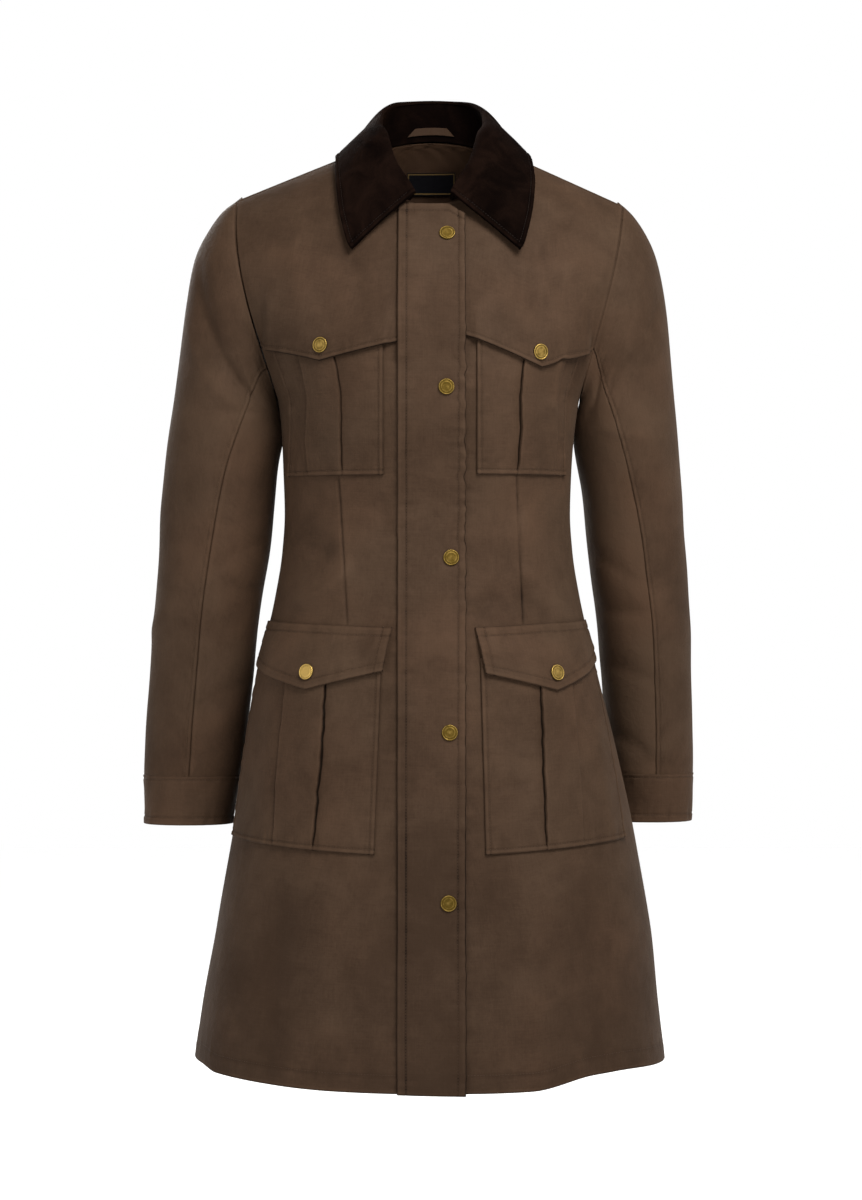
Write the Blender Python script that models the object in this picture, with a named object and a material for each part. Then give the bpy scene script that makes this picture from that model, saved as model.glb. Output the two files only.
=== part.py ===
"""Waxed cotton coat, filled out and hollow, in metres.

+Z is up, the front faces -Y and the wearer's right side is at -X. The origin is in
the middle of the neck opening, level with the back neck seam. Each cut piece of the
coat is a thin closed wall made from a smooth surface function of two parameters.
"""
import math

import bpy
import numpy as np

for item in list(bpy.data.objects):
    bpy.data.objects.remove(item, do_unlink=True)

# Cloth and seams
CLOTH = 0.0016
FACING_CLOTH = 0.0012
COLLAR_CLOTH = 0.0024
SEAM_HALF = 0.0002
LAY = 0.0005

# Body of the coat
SECTION_POWER = 2.3
CHEST_Z = -0.258
NECK_SIDE_X = 0.068
NECK_SIDE_Z = -0.0165
FRONT_NECK_Z = -0.074
BACK_NECK_RISE = 0.062
FRONT_ARCH = 1.62
BACK_ARCH = 2.3
BACK_CHEST_ROW = 0.70
NECK_SHARE = 0.42
HEM_SIDE_Z = -0.886
HEM_FRONT_DIP = 0.0125
RIGHT = -1
LEFT = 1
SIDES = (("right", RIGHT), ("left", LEFT))
FRONT = -1
BACK = 1
AXIS_DROP = 0.12

# Body sections: level, middle, half width, front depth, back depth
BODY = {
    "z": (-0.905, -0.831, -0.754, -0.677, -0.590, -0.505, -0.447, -0.400, -0.365, -0.330, CHEST_Z,
          -0.248, -0.239, -0.219, -0.200, -0.161, -0.122, -0.080, 0.010),
    "middle": (-0.001, 0.0, 0.003, 0.003, 0.0, -0.003, -0.003, -0.003, -0.003, -0.003, -0.002,
               -0.002, -0.002, -0.0015, -0.001, -0.001, -0.001, -0.001, -0.001),
    "width": (0.2275, 0.2180, 0.2070, 0.1935, 0.1780, 0.1600, 0.1465, 0.1390, 0.1368, 0.1378, 0.1440,
              0.1480, 0.1525, 0.1635, 0.1740, 0.1960, 0.2120, 0.2200, 0.2220),
    "front": (0.174, 0.168, 0.160, 0.152, 0.141, 0.128, 0.116, 0.109, 0.108, 0.113, 0.126,
              0.126, 0.126, 0.126, 0.126, 0.126, 0.126, 0.126, 0.126),
    "back": (0.170, 0.166, 0.162, 0.157, 0.149, 0.138, 0.124, 0.112, 0.107, 0.107, 0.114,
             0.114, 0.114, 0.114, 0.114, 0.114, 0.114, 0.114, 0.114),
}

# Shoulder tip of each side: distance from the middle, level
SHOULDER_TIP = {RIGHT: (0.1850, -0.0640), LEFT: (0.1840, -0.0690)}

# Lower edge of each yoke: distance from the middle, level; the snap sits at the point
YOKE_EDGE = {
    RIGHT: {"x": (0.020, 0.0306, 0.1006, 0.1620), "z": (-0.2065, -0.2080, -0.2244, -0.2070)},
    LEFT: {"x": (0.020, 0.0334, 0.0650, 0.1007, 0.1620),
           "z": (-0.1985, -0.2024, -0.2149, -0.2298, -0.2080)},
}
YOKE_POINT_X = {RIGHT: 0.1006, LEFT: 0.1007}
YOKE_UNDERLAP = 0.018
YOKE_LIFT = 0.0066
YOKE_LIFT_EDGE = 0.0030
YOKE_LIFT_RUN = 0.070
YOKE_LIFT_SIDE = 0.011
YOKE_BUTT = (0.80, 0.88)

# Fronts and placket
FRONT_EDGE_X = -0.026
CHEST_ROW = 0.88
PLACKET_X = (-0.0305, 0.0325)
PLACKET_TOP_Z = -0.0752
PLACKET_CORNER = 0.0100
PLACKET_CORNER_FROM = 0.75
PLACKET_CLOTH = 0.0022
PLACKET_LAY = 0.0011
PLACKET_DROP = 0.0015
PLACKET_RAMP = 0.030

# Sleeves: outer edge, inner edge, middle and half depth of each ring, armhole to cuff
SLEEVE = {
    RIGHT: {
        "out_x": (0.1850, 0.1985, 0.2140, 0.2270, 0.2345, 0.2415, 0.2495, 0.2575, 0.2650, 0.2715,
                  0.2780, 0.2800),
        "out_z": (-0.0640, -0.0735, -0.0935, -0.1220, -0.1640, -0.2170, -0.2700, -0.3320, -0.4086,
                  -0.4854, -0.5800, -0.6640),
        "in_x": (0.1440, 0.1444, 0.1448, 0.1454, 0.1460, 0.1466, 0.1470, 0.1480, 0.1560, 0.1680,
                 0.1805, 0.1925),
        "in_z": (-0.2580, -0.2600, -0.2620, -0.2650, -0.2690, -0.2760, -0.2900, -0.3320, -0.4086,
                 -0.4854, -0.5800, -0.6640),
        "mid_y": (0.000, 0.002, 0.004, 0.006, 0.008, 0.010, 0.013, 0.017, 0.024, 0.032, 0.042, 0.050),
        "depth": (0.060, 0.060, 0.061, 0.061, 0.061, 0.060, 0.059, 0.057, 0.054, 0.050, 0.046, 0.043),
        "seam": (0.74, 0.75, 0.76, 0.78, 0.80, 0.85, 0.92, 1.04, 1.22, 1.36, 1.48, 1.53),
    },
    LEFT: {
        "out_x": (0.1840, 0.1945, 0.2065, 0.2170, 0.2255, 0.2310, 0.2365, 0.2425, 0.2490, 0.2555,
                  0.2590, 0.2570),
        "out_z": (-0.0690, -0.0765, -0.0935, -0.1190, -0.1620, -0.2170, -0.2700, -0.3320, -0.4086,
                  -0.4854, -0.5800, -0.6640),
        "in_x": (0.1440, 0.1444, 0.1446, 0.1448, 0.1450, 0.1450, 0.1450, 0.1455, 0.1520, 0.1640,
                 0.1730, 0.1750),
        "in_z": (-0.2580, -0.2600, -0.2620, -0.2650, -0.2690, -0.2760, -0.2900, -0.3320, -0.4086,
                 -0.4854, -0.5800, -0.6640),
        "mid_y": (0.000, 0.003, 0.006, 0.009, 0.013, 0.018, 0.024, 0.034, 0.050, 0.068, 0.086, 0.097),
        "depth": (0.060, 0.060, 0.061, 0.061, 0.061, 0.060, 0.059, 0.057, 0.054, 0.050, 0.046, 0.043),
        "seam": (0.92, 0.96, 1.00, 1.04, 1.08, 1.14, 1.22, 1.36, 1.48, 1.54, 1.58, 1.58),
    },
}
SLEEVE_POWER = 2.15
SLEEVE_BACK_SEAM = 4.35
CUFF_SEAM_RING = 10.42
CUFF_END_RING = 11.0
ARMHOLE_FADE = 3.0
ARMHOLE_GAP = 0.0010
ARMHOLE_SWELL = 0.006
ARMHOLE_EASE = 1.25

CUFF_GAP = 0.006
CUFF_STAND = 0.0006
CUFF_CLOTH = 0.0026

# Patches on the fronts: inner edge and outer turn at bottom and top; levels along the width
CHEST_POCKET = {
    RIGHT: {"inner": (0.0436, 0.0436), "outer": (70.0, 58.5), "share": (0.0, 0.452, 1.0),
            "low": (-0.3305, -0.3305, -0.3305), "high": (-0.2050, -0.2184, -0.2060)},
    LEFT: {"inner": (0.0427, 0.0427), "outer": (68.0, 56.5), "share": (0.0, 0.163, 0.463, 1.0),
           "low": (-0.3295, -0.3295, -0.3295, -0.3295), "high": (-0.2000, -0.2090, -0.2238, -0.2080)},
}
CHEST_FOLDS = (0.345, 0.69)
HIP_POCKET = {
    RIGHT: {"inner": (0.0515, 0.0448), "outer": (80.0, 80.0), "share": (0.0, 1.0),
            "low": (-0.6815, -0.6703), "high": (-0.5000, -0.4960)},
    LEFT: {"inner": (0.0506, 0.0458), "outer": (67.0, 78.0), "share": (0.0, 1.0),
           "low": (-0.6815, -0.6703), "high": (-0.5000, -0.4960)},
}
HIP_FOLDS = (0.30, 0.55)
HIP_FLAP = {
    RIGHT: {"inner": (0.0434, 0.0352), "outer": (82.0, 82.0), "share": (0.0, 0.390, 1.0),
            "low": (-0.5136, -0.5310, -0.5089), "high": (-0.4729, -0.4700, -0.4670)},
    LEFT: {"inner": (0.0499, 0.0408), "outer": (80.0, 80.0), "share": (0.0, 0.415, 1.0),
           "low": (-0.5164, -0.5319, -0.5028), "high": (-0.4729, -0.4694, -0.4659)},
}
FLAP_STAND = 0.0042
FLAP_RUN = 0.55
PLEAT_STEP = 0.012
PLEAT_RISE = 0.0014

# Collar guides from the middle of the back to the front end: roll line and outer edge
COLLAR = {
    "turn": (0.0, 0.25, 0.45, 0.57, 0.70, 0.85, 1.0),
    "roll_x": (0.0, 0.0370, 0.0535, 0.0535, 0.0465, 0.0365, 0.0190),
    "roll_y": (0.0720, 0.0580, 0.0240, -0.0040, -0.0300, -0.0540, -0.0735),
    "roll_z": (0.0370, 0.0345, 0.0210, 0.0090, -0.0030, -0.0340, -0.0665),
    "edge_x": (0.0, 0.0600, 0.0900, 0.0945, 0.0915, 0.0845, 0.0755),
    "edge_y": (0.1120, 0.0920, 0.0350, -0.0040, -0.0440, -0.0755, -0.0950),
    "edge_z": (-0.0240, -0.0250, -0.0215, -0.0220, -0.0460, -0.0830, -0.1165),
}
COLLAR_END_X = 0.0195
STAND_GAP = 0.0010
FALL_KNEE = 0.62
ROLL_NUDGE = 0.01

# Inside of the back neck
FACING_FIRST_ROW = -7
LABEL_LAY = 0.0016
LABEL_X = (-0.0240, 0.0256)
LABEL_Z = (-0.0480, -0.0262)
LABEL_CLOTH = 0.0008
LOOP_TURN = 0.12
LOOP_TAPER = 0.28
LOOP_SHARE = 0.08
LOOP_HEIGHT = 0.22

# Snaps: rings of the turned profile, and places on the cloth
SNAP = {"radius": (0.0074, 0.0074, 0.0062, 0.0053),
        "height": (0.0, 0.0016, 0.0023, 0.0016)}
SNAP_RADIUS = 0.0074
SNAP_SIDES = 14
SNAP_LAY = 0.0004
PLACKET_SNAPS = ((0.0156, -0.1052), (0.0146, -0.2498), (0.0190, -0.4080), (0.0176, -0.5700),
                 (0.0165, -0.7255))
YOKE_SNAP = {RIGHT: (-0.0998, -0.2102), LEFT: (0.0994, -0.2159)}
FLAP_SNAP = {RIGHT: (-0.1120, -0.5150), LEFT: (0.1140, -0.5158)}

# Columns and rows of the walls
FRONT_COLUMNS = {RIGHT: 11, LEFT: 13}
FRONT_ROWS = 20
UPPER_FRONT_ROWS = (0.12, 0.30, 0.60, 1.0)
BACK_COLUMN_COUNT = 22
BACK_ROW_COUNT = 15
UPPER_BACK_ROWS = (0.05, 0.11, 0.20, 0.32, 0.45, 0.58, 0.71, 0.85, 1.0)
YOKE_COLUMNS = (11, 6)
YOKE_ROWS = 9
PLACKET_COLUMNS = 4
PLACKET_ROWS = 36
SLEEVE_COLUMNS = 14
CAP_RINGS = 4
CUFF_COLUMNS = 24
CUFF_ROWS = 2
PLEAT_COLUMNS = 4
CHEST_POCKET_ROWS = 6
HIP_POCKET_ROWS = 7
FLAP_COLUMNS = (6, 6)
FLAP_ROWS = 6
COLLAR_COLUMNS = 30
STAND_ROWS = 3
FALL_ROWS = (0.0, 0.06, 0.16, 0.32, 0.54, 0.77, 1.0)
LABEL_COLUMNS = 4
LABEL_ROWS = 2
LOOP_COLUMNS = 6

# Colours
CLOTH_BROWN = (0.085, 0.052, 0.033, 1.0)
LINING_BROWN = (0.075, 0.046, 0.030, 1.0)
PILE_BROWN = (0.010, 0.0055, 0.0045, 1.0)
BRASS = (0.36, 0.23, 0.055, 1.0)
LABEL_DARK = (0.010, 0.009, 0.012, 1.0)


def smooth_step(value):
    """Ease from 0 to 1."""
    t = np.clip(value, 0.0, 1.0)
    return t * t * (3.0 - 2.0 * t)


def through(keys, values, at):
    """Smooth curve through a table's rows without overshoot between them."""
    keys = np.asarray(keys, dtype=float)
    values = np.asarray(values, dtype=float)
    at = np.clip(at, keys[0], keys[-1])
    spans = np.diff(keys)
    slopes = np.diff(values) / spans
    tangents = np.zeros_like(values)
    tangents[0] = slopes[0]
    tangents[-1] = slopes[-1]
    rising = slopes[:-1] * slopes[1:] > 0.0
    weight_a = 2.0 * spans[1:] + spans[:-1]
    weight_b = spans[1:] + 2.0 * spans[:-1]
    safe_a = np.where(rising, slopes[:-1], 1.0)
    safe_b = np.where(rising, slopes[1:], 1.0)
    mean = (weight_a + weight_b) / (weight_a / safe_a + weight_b / safe_b)
    tangents[1:-1] = np.where(rising, mean, 0.0)
    row = np.clip(np.searchsorted(keys, at, side="right") - 1, 0, len(spans) - 1)
    t = (at - keys[row]) / spans[row]
    start = (1.0 + 2.0 * t) * (1.0 - t) ** 2 * values[row]
    end = t * t * (3.0 - 2.0 * t) * values[row + 1]
    bend = t * (1.0 - t) ** 2 * tangents[row] - t * t * (1.0 - t) * tangents[row + 1]
    return start + end + spans[row] * bend


def body(column, z):
    """One size of the body at a level."""
    return through(BODY["z"], BODY[column], z)


def shoulder_level(x, face):
    """Level of the shoulder seam over a distance from the middle."""
    side = np.where(np.asarray(x) < 0.0, RIGHT, LEFT)
    distance = np.abs(x)
    tip_x = np.where(side == RIGHT, SHOULDER_TIP[RIGHT][0], SHOULDER_TIP[LEFT][0])
    tip_z = np.where(side == RIGHT, SHOULDER_TIP[RIGHT][1], SHOULDER_TIP[LEFT][1])
    slope = (tip_z - NECK_SIDE_Z) / (tip_x - NECK_SIDE_X)
    sloped = NECK_SIDE_Z + slope * np.maximum(distance - NECK_SIDE_X, 0.0)
    rise = BACK_NECK_RISE if face == BACK else 0.0
    inside = np.clip(distance / NECK_SIDE_X, 0.0, 1.0)
    return sloped + rise * (1.0 - inside ** 2)


def body_depth(x, z, face):
    """Depth of the body's middle line, closing in an arch over the shoulders."""
    depth = body("front" if face == FRONT else "back", z)
    arch = FRONT_ARCH if face == FRONT else BACK_ARCH
    climb = np.clip((z - CHEST_Z) / (shoulder_level(x, face) - CHEST_Z), 0.0, 1.0)
    return depth * (1.0 - climb ** arch) ** (1.0 / arch)


def body_point(x, z, face):
    """Point of the body's surface seen at (x, z) from the front or the back."""
    share = np.clip(np.abs(x - body("middle", z)) / body("width", z), 0.0, 1.0)
    reach = (1.0 - share ** SECTION_POWER) ** (1.0 / SECTION_POWER)
    y = face * (body_depth(x, z, face) * reach + SEAM_HALF)
    return np.stack(np.broadcast_arrays(x, y, z), axis=-1)


def armhole_x(z, side):
    """Signed distance of the armhole edge from the middle plane at a level."""
    tip_x, tip_z = SHOULDER_TIP[side]
    armpit_x = body("width", CHEST_Z) + side * body("middle", CHEST_Z)
    climb = np.clip((z - CHEST_Z) / (tip_z - CHEST_Z), 0.0, 1.0) ** ARMHOLE_EASE
    swell = ARMHOLE_SWELL * 4.0 * climb * (1.0 - climb)
    return side * (armpit_x + (tip_x - armpit_x) * climb + swell)


def side_x(z, side):
    """Signed distance of the side seam, or of the armhole above the armpit."""
    seam = body("middle", z) + side * body("width", z)
    return np.where(z <= CHEST_Z, seam, armhole_x(z, side))


def turn_of(x, z, side):
    """Angle round the section at which the surface is at x: a quarter turn is the side."""
    share = np.clip(side * (x - body("middle", z)) / body("width", z), -1.0, 1.0)
    return np.arcsin(np.sign(share) * np.abs(share) ** (SECTION_POWER / 2.0))


def x_of(turn, z, side):
    """Signed distance from the middle plane at an angle round the section."""
    wave = np.sin(turn)
    share = np.sign(wave) * np.abs(wave) ** (2.0 / SECTION_POWER)
    return body("middle", z) + side * body("width", z) * share


def wall_normals(surface, s, t, away_from):
    """Unit normals of a surface function, pointing away from a reference."""
    nudge = 1e-4
    s_up = np.minimum(s + nudge, 1.0)
    s_down = np.maximum(s - nudge, 0.0)
    t_up = np.minimum(t + nudge, 1.0)
    t_down = np.maximum(t - nudge, 0.0)
    along_s = surface(s_up, t) - surface(s_down, t)
    along_t = surface(s, t_up) - surface(s, t_down)
    normal = np.cross(along_s, along_t)
    length = np.linalg.norm(normal, axis=-1, keepdims=True)
    normal = normal / np.maximum(length, 1e-15)
    point = surface(s, t)
    outward = np.sum(normal * (point - away_from(point, s, t)), axis=-1)
    return normal * (1.0 if np.median(outward) > 0.0 else -1.0)


def body_axis(point, s, t):
    """Reference inside the body for what lies on it."""
    axis = point * np.array((0.0, 0.0, 1.0))
    return axis - np.array((0.0, 0.0, AXIS_DROP))


def material(name, colour, roughness, metallic=0.0):
    """Principled material of one kind of cloth or metal."""
    finish = bpy.data.materials.get(name) or bpy.data.materials.new(name)
    finish.use_nodes = True
    shader = finish.node_tree.nodes["Principled BSDF"]
    shader.inputs["Base Color"].default_value = colour
    shader.inputs["Roughness"].default_value = roughness
    shader.inputs["Metallic"].default_value = metallic
    return finish


WAXED = material("waxed_cotton", CLOTH_BROWN, 0.62)
LINING = material("lining_cotton", LINING_BROWN, 0.8)
PILE = material("collar_pile", PILE_BROWN, 0.9)
METAL = material("snap_brass", BRASS, 0.35, 1.0)
LABEL = material("label_weave", LABEL_DARK, 0.85)


def add_piece(name, points, faces, finish):
    """Named object from points and faces."""
    mesh = bpy.data.meshes.new(name)
    mesh.from_pydata([tuple(map(float, p)) for p in points], [], faces)
    mesh.shade_smooth()
    mesh.set_sharp_from_angle(angle=math.radians(40))
    mesh.materials.append(finish)
    piece = bpy.data.objects.new(name, mesh)
    bpy.context.collection.objects.link(piece)
    return piece


def signed_volume(points, faces):
    """Six times the volume that the faces close, positive when they face out."""
    total = 0.0
    for face in faces:
        for k in range(1, len(face) - 1):
            total += np.dot(points[face[0]], np.cross(points[face[k]], points[face[k + 1]]))
    return total


def add_wall(name, outer, inner, finish, ring=False):
    """Closed wall between two grids of points; a ring joins its last column to its first."""
    columns, rows = outer.shape[:2]
    points = np.concatenate((outer.reshape(-1, 3), inner.reshape(-1, 3)))
    half = columns * rows

    def index(i, j, layer):
        return layer * half + (i % columns) * rows + j

    corners = []
    spans = columns if ring else columns - 1
    last = rows - 1
    for i in range(spans):
        for j in range(rows - 1):
            corners.append((index(i, j, 0), index(i + 1, j, 0), index(i + 1, j + 1, 0), index(i, j + 1, 0)))
            corners.append((index(i + 1, j + 1, 1), index(i + 1, j, 1), index(i, j, 1), index(i, j + 1, 1)))
        corners.append((index(i, 0, 1), index(i + 1, 0, 1), index(i + 1, 0, 0), index(i, 0, 0)))
        corners.append((index(i, last, 0), index(i + 1, last, 0), index(i + 1, last, 1), index(i, last, 1)))
    if not ring:
        end = columns - 1
        for j in range(rows - 1):
            corners.append((index(0, j, 0), index(0, j + 1, 0), index(0, j + 1, 1), index(0, j, 1)))
            corners.append((index(end, j, 1), index(end, j + 1, 1), index(end, j + 1, 0), index(end, j, 0)))
    faces = [(a, b, c) for a, b, c, d in corners] + [(a, c, d) for a, b, c, d in corners]
    if signed_volume(points, faces) < 0.0:
        faces = [tuple(reversed(face)) for face in faces]
    return add_piece(name, points, faces, finish)


def cut_wall(name, surface, across, along, finish, lift=0.0, cloth=CLOTH, away_from=body_axis, ring=False):
    """Closed wall of one cut piece: its outer side is the surface moved out by lift."""
    s, t = np.meshgrid(np.asarray(across, dtype=float), np.asarray(along, dtype=float), indexing="ij")
    point = surface(s, t)
    normal = wall_normals(surface, s, t, away_from)
    height = lift(point, s, t) if callable(lift) else np.full(s.shape, lift)
    outer = point + normal * height[..., None]
    inner = point + normal * (height - cloth)[..., None]
    return add_wall(name, outer, inner, finish, ring)


def steps(count, first=0.0, last=1.0):
    """Even fractions from first to last."""
    return np.linspace(first, last, count + 1)


def rows_past(count, bend, upper):
    """Even rows up to a bend, then the given shares of what is left."""
    return np.append(steps(count, 0.0, bend), bend + (1.0 - bend) * np.array(upper))


BACK_COLUMNS = steps(BACK_COLUMN_COUNT)
BACK_ROWS = rows_past(BACK_ROW_COUNT, BACK_CHEST_ROW, UPPER_BACK_ROWS)


def hem_level(turn):
    """Hem level at an angle round the front: lower at the middle than at the sides."""
    return HEM_SIDE_Z - HEM_FRONT_DIP * np.cos(turn) ** 2


def yoke_edge_level(x, side):
    """Level of a yoke's lower edge at a signed distance from the middle."""
    return np.interp(side * np.asarray(x), YOKE_EDGE[side]["x"], YOKE_EDGE[side]["z"])


def front_edge(side):
    """Signed distance of a front's edge under the placket."""
    return FRONT_EDGE_X + side * SEAM_HALF


def front_surface(side):
    """Front: across from its edge under the placket to the side, along from the hem to the yoke."""
    def surface(s, t):
        chest_in = turn_of(front_edge(side), CHEST_Z, side)
        chest_turn = chest_in + (math.pi / 2.0 - chest_in) * s
        butt = smooth_step((s - YOKE_BUTT[0]) / (YOKE_BUTT[1] - YOKE_BUTT[0]))
        turn_end = yoke_base_turn(side)
        top_x = x_of(turn_end[0] + (turn_end[1] - turn_end[0]) * s, YOKE_END_Z[side], side)
        top = yoke_edge_level(top_x, side) + YOKE_UNDERLAP * (1.0 - butt) - 2.0 * LAY * butt
        hem = hem_level(chest_turn)
        low = hem + (CHEST_Z - hem) * np.clip(t / CHEST_ROW, 0.0, 1.0)
        z = low + (top - CHEST_Z) * np.clip((t - CHEST_ROW) / (1.0 - CHEST_ROW), 0.0, 1.0)
        turn_in = turn_of(front_edge(side), z, side)
        turn_out = turn_of(side_x(z, side), z, side)
        return body_point(x_of(turn_in + (turn_out - turn_in) * s, z, side), z, FRONT)
    return surface


def add_fronts():
    """Two fronts that meet under the placket."""
    rows = rows_past(FRONT_ROWS, CHEST_ROW, UPPER_FRONT_ROWS)
    for name_end, side in SIDES:
        cut_wall("front_" + name_end, front_surface(side), steps(FRONT_COLUMNS[side]), rows, WAXED)


def neck_top(share, side, face):
    """Top edge of a panel: the neck seam up to NECK_SHARE, then the shoulder seam."""
    start = math.asin(side * front_edge(side) / NECK_SIDE_X) if face == FRONT else 0.0
    lean = start + (math.pi / 2.0 - start) * np.clip(share / NECK_SHARE, 0.0, 1.0)
    run = np.clip((share - NECK_SHARE) / (1.0 - NECK_SHARE), 0.0, 1.0)
    tip_x, tip_z = SHOULDER_TIP[side]
    neck_x = NECK_SIDE_X * np.sin(lean)
    if face == FRONT:
        neck_z = NECK_SIDE_Z + (FRONT_NECK_Z - NECK_SIDE_Z) * np.cos(lean)
    else:
        neck_z = NECK_SIDE_Z * np.sin(lean) ** 2
    x = neck_x + (tip_x - NECK_SIDE_X) * run
    z = neck_z + (tip_z - NECK_SIDE_Z) * run
    return side * x, z


def upper_point(s, climb, base_x, base_z, side, face):
    """Point of a panel's upper part: straight columns from a base line to the top edge."""
    top_x, top_z = neck_top(s, side, face)
    z = base_z + (top_z - base_z) * climb
    x = base_x + (top_x - base_x) * climb
    tip_x, tip_z = SHOULDER_TIP[side]
    edge_z = side_base_level(side, face) + (tip_z - side_base_level(side, face)) * climb
    edge_line = armhole_x(side_base_level(side, face), side)
    edge_line = edge_line + (side * tip_x - edge_line) * climb
    swell = armhole_x(edge_z, side) - edge_line
    return body_point(x + swell * s ** 3, z, face)


def side_base_level(side, face):
    """Level at which a panel's upper part starts at the armhole."""
    return YOKE_END_Z[side] if face == FRONT else CHEST_Z


def yoke_end_level(side):
    """Level at which a yoke's lower edge meets the armhole."""
    level = CHEST_Z / 2.0
    for _ in range(30):
        level = float(yoke_edge_level(armhole_x(level, side), side))
    return level


YOKE_END_Z = {RIGHT: yoke_end_level(RIGHT), LEFT: yoke_end_level(LEFT)}


def yoke_base_turn(side):
    """Angles of a yoke's two ends along its lower edge."""
    level = YOKE_END_Z[side]
    return turn_of(front_edge(side), level, side), turn_of(armhole_x(level, side), level, side)


def yoke_surface(side):
    """Yoke: across from its edge under the placket to the armhole, along from its lower edge up."""
    def surface(s, t):
        turn_in, turn_out = yoke_base_turn(side)
        base_x = x_of(turn_in + (turn_out - turn_in) * s, YOKE_END_Z[side], side)
        return upper_point(s, np.sin(t * math.pi / 2.0), base_x, yoke_edge_level(base_x, side), side, FRONT)
    return surface


def yoke_lift(point, side):
    """How far a yoke stands off the front: most over the pocket, least at its two ends."""
    x = side * point[..., 0]
    z = point[..., 2]
    end_x = side * armhole_x(YOKE_END_Z[side], side)
    full = YOKE_LIFT_EDGE + (YOKE_LIFT - YOKE_LIFT_EDGE) * smooth_step((x - PLACKET_X[1]) / YOKE_LIFT_SIDE)
    full = full * smooth_step((end_x - x) / YOKE_LIFT_SIDE)
    return full * (1.0 - smooth_step((z - yoke_edge_level(point[..., 0], side)) / YOKE_LIFT_RUN))


def add_yoke(name, side):
    """Storm yoke from its pointed edge to the shoulder and neck seams."""
    turn_in, turn_out = yoke_base_turn(side)
    point_turn = turn_of(side * YOKE_POINT_X[side], YOKE_END_Z[side], side)
    middle = float((point_turn - turn_in) / (turn_out - turn_in))
    across = np.append(steps(YOKE_COLUMNS[0], 0.0, middle), steps(YOKE_COLUMNS[1], middle, 1.0)[1:])
    cut_wall(name, yoke_surface(side), across, steps(YOKE_ROWS), WAXED,
             lift=lambda point, s, t: yoke_lift(point, side))


def back_surface(s, t):
    """Back: across from the right side to the left, along from the hem to the neck and shoulders."""
    right = s < 0.5
    share = np.abs(2.0 * s - 1.0)
    climb = np.sin(np.clip((t - BACK_CHEST_ROW) / (1.0 - BACK_CHEST_ROW), 0.0, 1.0) * math.pi / 2.0)
    turn = math.pi * (s - 0.5)
    low = HEM_SIDE_Z + (CHEST_Z - HEM_SIDE_Z) * np.clip(t / BACK_CHEST_ROW, 0.0, 1.0)
    lower = body_point(x_of(turn, low, LEFT), low, BACK)
    base_x = x_of(turn, CHEST_Z, LEFT)
    on_right = upper_point(share, climb, base_x, CHEST_Z, RIGHT, BACK)
    on_left = upper_point(share, climb, base_x, CHEST_Z, LEFT, BACK)
    upper = np.where(right[..., None], on_right, on_left)
    return np.where((t <= BACK_CHEST_ROW)[..., None], lower, upper)


def add_back():
    """One-piece back."""
    cut_wall("back", back_surface, BACK_COLUMNS, BACK_ROWS, WAXED)


def placket_bulk(point):
    """Height of the yokes' edges under the placket, eased out below them."""
    z = point[..., 2]
    side_levels = [yoke_edge_level(FRONT_EDGE_X, side) for side in (RIGHT, LEFT)]
    above = 1.0 - smooth_step((z - max(side_levels)) / YOKE_LIFT_RUN)
    below = 1.0 - smooth_step((min(side_levels) - z) / PLACKET_RAMP)
    return YOKE_LIFT_EDGE * np.minimum(above, below)


def placket_lift(point):
    """Outer height of the placket above the fronts."""
    return PLACKET_LAY + PLACKET_CLOTH + placket_bulk(point)


def placket_surface(s, t):
    """Placket: across from its stitched edge to its free edge, along from the hem to the neck."""
    x = PLACKET_X[0] + (PLACKET_X[1] - PLACKET_X[0]) * s
    hem = hem_level(turn_of(x, HEM_SIDE_Z, LEFT)) - PLACKET_DROP * (0.4 + s)
    cut = np.clip((s - PLACKET_CORNER_FROM) / (1.0 - PLACKET_CORNER_FROM), 0.0, 1.0)
    z = hem + (PLACKET_TOP_Z - PLACKET_CORNER * cut - hem) * t
    return body_point(x, z, FRONT)


def add_placket():
    """Fly-front band over the fronts' edges."""
    cut_wall("placket", placket_surface, steps(PLACKET_COLUMNS), steps(PLACKET_ROWS), WAXED,
             lift=lambda point, s, t: placket_lift(point), cloth=PLACKET_CLOTH)


def ring_size(side, column, ring):
    """One size of a sleeve at a ring."""
    return through(np.arange(len(SLEEVE[side][column])), SLEEVE[side][column], ring)


def ring_outline(side, turn, ring):
    """Plain rounded ring: a turn of 0 is the inner edge, a quarter the front, a half the outer edge."""
    wave = np.cos(turn)
    depth_wave = np.sin(turn)
    along = -np.sign(wave) * np.abs(wave) ** (2.0 / SLEEVE_POWER)
    ahead = np.sign(depth_wave) * np.abs(depth_wave) ** (2.0 / SLEEVE_POWER)
    out_x, in_x = ring_size(side, "out_x", ring), ring_size(side, "in_x", ring)
    out_z, in_z = ring_size(side, "out_z", ring), ring_size(side, "in_z", ring)
    x = (out_x + in_x) / 2.0 + (out_x - in_x) / 2.0 * along
    y = ring_size(side, "mid_y", ring) - ring_size(side, "depth", ring) * ahead
    z = (out_z + in_z) / 2.0 + (out_z - in_z) / 2.0 * along
    return np.stack(np.broadcast_arrays(side * (x + ARMHOLE_GAP), y, z), axis=-1)


def sleeve_point(side, turn, ring):
    """Point of a sleeve: its rings start from the armhole's own outline."""
    plain = ring_outline(side, turn, ring)
    first = ring_outline(side, turn, 0.0 * ring)
    level = first[..., 2]
    edge = armhole_x(level, side)
    ahead = body_point(edge, level, FRONT)
    behind = body_point(edge, level, BACK)
    seam = np.where((np.sin(turn) >= 0.0)[..., None], ahead, behind)
    seam = seam + np.array((side * ARMHOLE_GAP, 0.0, 0.0))
    fade = np.clip(1.0 - ring / ARMHOLE_FADE, 0.0, 1.0) ** 2
    return plain + (seam - first) * fade[..., None]


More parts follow.
